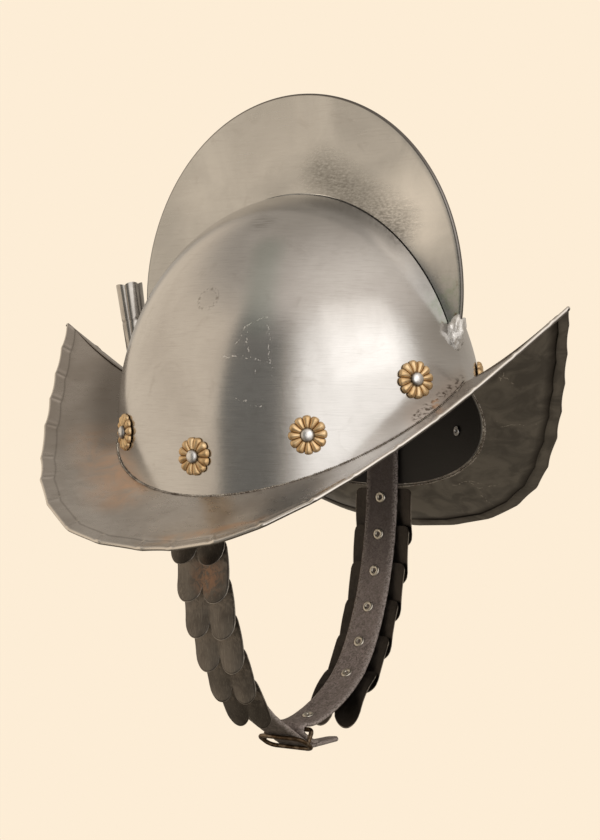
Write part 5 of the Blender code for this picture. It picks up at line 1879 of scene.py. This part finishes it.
def buckle_finish():
    material, graph, shader = new_material("browned buckle")
    place = graph.place()
    marks = graph.grain(place, 420.0, 5.0, 0.62, 0.6)
    patches = graph.grain(place, 120.0, 4.0, 0.6)
    worn = graph.rise(patches, 0.50, 0.66)
    colour = graph.mix(graph.rise(marks, 0.35, 0.65), (0.055, 0.036, 0.022), (0.16, 0.105, 0.060))
    colour = graph.mix(worn * 0.6, colour, (0.42, 0.34, 0.26))
    rough = 0.34 + marks * 0.22 - worn * 0.06
    normal = graph.bump(marks, 0.00020, 0.7)
    wire(graph, shader, base_color=colour, roughness=rough, metallic=1.0, normal=normal)
    return material


# Stage, light and camera

def floor_finish():
    """Plain cream without a shadow, like the backdrop behind it."""
    material, graph, shader = new_material("pale floor")
    wire(graph, shader, base_color=(0.0, 0.0, 0.0, 1.0), roughness=1.0, metallic=0.0,
         emission_color=(*CREAM, 1.0), emission_strength=1.0)
    shader.inputs["Specular IOR Level"].default_value = 0.0
    return material


def make_floor():
    bpy.ops.mesh.primitive_circle_add(vertices=FLOOR_SIDES, radius=FLOOR_RADIUS, fill_type="TRIFAN",
                                      location=(0, 0, FLOOR_Z))
    floor = bpy.context.object
    floor.name = "floor"
    floor.data.materials.append(floor_finish())
    floor.visible_glossy = False
    floor.visible_diffuse = False


def camera_axes():
    """The ways from the helmet to the camera, to the picture's right and up."""
    turn, rise = math.radians(CAMERA_TURN_DEG), math.radians(CAMERA_RISE_DEG)
    level = Vector((-math.cos(turn), -math.sin(turn), 0.0))
    right = Vector((math.sin(turn), -math.cos(turn), 0.0))
    back = level * math.cos(rise) + Vector((0, 0, math.sin(rise)))
    return back, right, back.cross(right)


def camera_place():
    back, right, up = camera_axes()
    shift = (PHOTO_WIDTH / 2 - AIM_PIXEL_X) * CAMERA_DISTANCE / FOCAL_PIXELS
    spot = back * CAMERA_DISTANCE + Vector((0, 0, AIM_Z)) + right * shift
    return (Matrix.Translation(spot) @ Matrix((right, up, back)).transposed().to_4x4()
            @ Matrix.Rotation(math.radians(CAMERA_ROLL_DEG), 4, "Z"))


def seen_on(item):
    """A finder of the point on a plate that the photograph shows at a pixel."""
    tree = BVHTree.FromPolygons([vertex.co for vertex in item.data.vertices],
                                [tuple(face.vertices) for face in item.data.polygons])
    eye = camera_place()

    def find(x, y):
        way = eye.to_3x3() @ Vector((x - PHOTO_WIDTH / 2, PHOTO_HEIGHT / 2 - y, -FOCAL_PIXELS)).normalized()
        hit = tree.ray_cast(eye.translation, way)[0]
        return hit or tree.find_nearest(eye.translation + way * CAMERA_DISTANCE)[0]

    return find


def make_camera():
    data = bpy.data.cameras.new("camera")
    data.sensor_fit = "VERTICAL"
    data.sensor_height = SENSOR
    data.sensor_width = SENSOR
    data.lens = FOCAL_PIXELS * SENSOR / PHOTO_HEIGHT
    camera = placed("camera", data)
    camera.matrix_world = camera_place()
    bpy.context.scene.camera = camera


def level_way(turn_deg):
    """A level way out from the helmet; a turn of 0 is the camera's side, positive to its right."""
    back, right, _ = camera_axes()
    turn = math.radians(turn_deg)
    return Vector((back.x, back.y, 0.0)).normalized() * math.cos(turn) + right * math.sin(turn)


def make_key_light():
    """One large soft box above and to the camera's right."""
    rise = math.radians(KEY_RISE_DEG)
    way = level_way(KEY_TURN_DEG) * math.cos(rise) + Vector((0, 0, math.sin(rise)))
    data = bpy.data.lights.new("key box", "AREA")
    data.shape = "RECTANGLE"
    data.size, data.size_y = KEY_WIDTH, KEY_HEIGHT
    data.energy = KEY_POWER
    data.color = KEY_COLOUR
    light = placed("key box", data)
    light.location = Vector((0, 0, KEY_AIM_Z)) + way * KEY_DISTANCE
    light.rotation_mode = "QUATERNION"
    light.rotation_quaternion = way.to_track_quat("Z", "Y")


def make_world():
    """A room with two large soft panels, a dark gap between them, a pale ceiling and a brown floor."""
    world = bpy.data.worlds.new("studio")
    world.use_nodes = True
    bpy.context.scene.world = world
    graph = Graph(world.node_tree)
    for old in list(world.node_tree.nodes):
        world.node_tree.nodes.remove(old)
    way = graph.node("ShaderNodeTexCoord", output="Generated")
    across = graph.vector("DOT_PRODUCT", way, camera_axes()[1], "Value")
    toward = graph.vector("DOT_PRODUCT", way, level_way(0.0), "Value")
    turn = across.maths("ARCTAN2", across, toward) * math.degrees(1.0)
    height = graph.axis(way, 2)
    room = WALL
    for middle, half_width, soft, colour in (LEFT_PANEL, DARK_GAP, FRONT_PANEL):
        away = turn - middle
        away = away.maths("ABSOLUTE", away, 0.0)
        room = graph.mix(graph.rise(away, half_width + soft, half_width), room, colour)
    side = graph.vector("DOT_PRODUCT", way, level_way(BRIGHT_CEILING_TURN_DEG), "Value")
    ceiling = graph.mix(graph.rise(side, *BRIGHT_CEILING_FADE), DIM_CEILING, BRIGHT_CEILING)
    room = graph.mix(graph.rise(height, *CEILING_FADE), room, ceiling)
    room = graph.mix(graph.rise(height, *GROUND_FADE), room, GROUND)
    studio = graph.node("ShaderNodeBackground", inputs={"Color": room, "Strength": 1.0})
    backdrop = graph.node("ShaderNodeBackground", inputs={"Color": (*CREAM, 1.0), "Strength": 1.0})
    seen = graph.node("ShaderNodeLightPath", output="Is Camera Ray")
    surface = graph.node("ShaderNodeMixShader", inputs={"Fac": seen, 1: studio, 2: backdrop})
    leave = world.node_tree.nodes.new("ShaderNodeOutputWorld")
    world.node_tree.links.new(surface.socket, leave.inputs["Surface"])


# Assembly

def main():
    for name, make, finish in (("skull", make_skull, bowl_finish), ("comb", make_comb, comb_finish),
                               ("brim", make_brim, brim_finish)):
        material, graph, shader = new_material(f"{name} steel")
        plate = make(material)
        finish(graph, shader, seen_on(plate))
        dress(plate, "steel", name)
    holder_steel, graph, shader = new_material("holder steel")
    holder_finish(graph, shader)
    gilt, rivet_steel, eyelet = gilt_finish(), rivet_finish(), eyelet_finish()
    weld = weld_finish("weld bead", (0.60, 0.56, 0.50), (0.15, 0.12, 0.10))
    bright_weld = weld_finish("bright weld", (0.98, 0.98, 0.98), (0.80, 0.79, 0.77))
    blackened, leather, bronze = scale_finish(), leather_finish(), buckle_finish()

    dress(make_holder(holder_steel), "steel", "plume_holder")
    for bead in make_welds(weld, bead_tree()):
        dress(bead, "steel")
    for number, (point, angle) in enumerate(comb_foot_points(), 1):
        dress(make_foot_weld(f"foot_weld_{number}", point, angle, bright_weld), "steel")
    make_rosettes(gilt, petal_tree())
    frames = frames_tree()
    make_rosette_rivets(rivet_steel, frames)
    right_points, left_points = tongue_points(), left_strap_points()
    dress(make_strap("strap_right", right_points, True, leather), "strap_leather", "strap_right")
    dress(make_strap("strap_left", left_points, False, leather), "strap_leather", "strap_left")
    make_scales("right", -1, right_points, blackened)
    make_scales("left", 1, left_points, blackened)
    make_eyelets(right_points, left_points, eyelet, frames)
    dress(make_buckle(bronze), "buckle_metal", "buckle")

    make_floor()
    make_world()
    make_key_light()
    make_camera()
    bpy.context.scene.view_settings.view_transform = "Standard"


main()
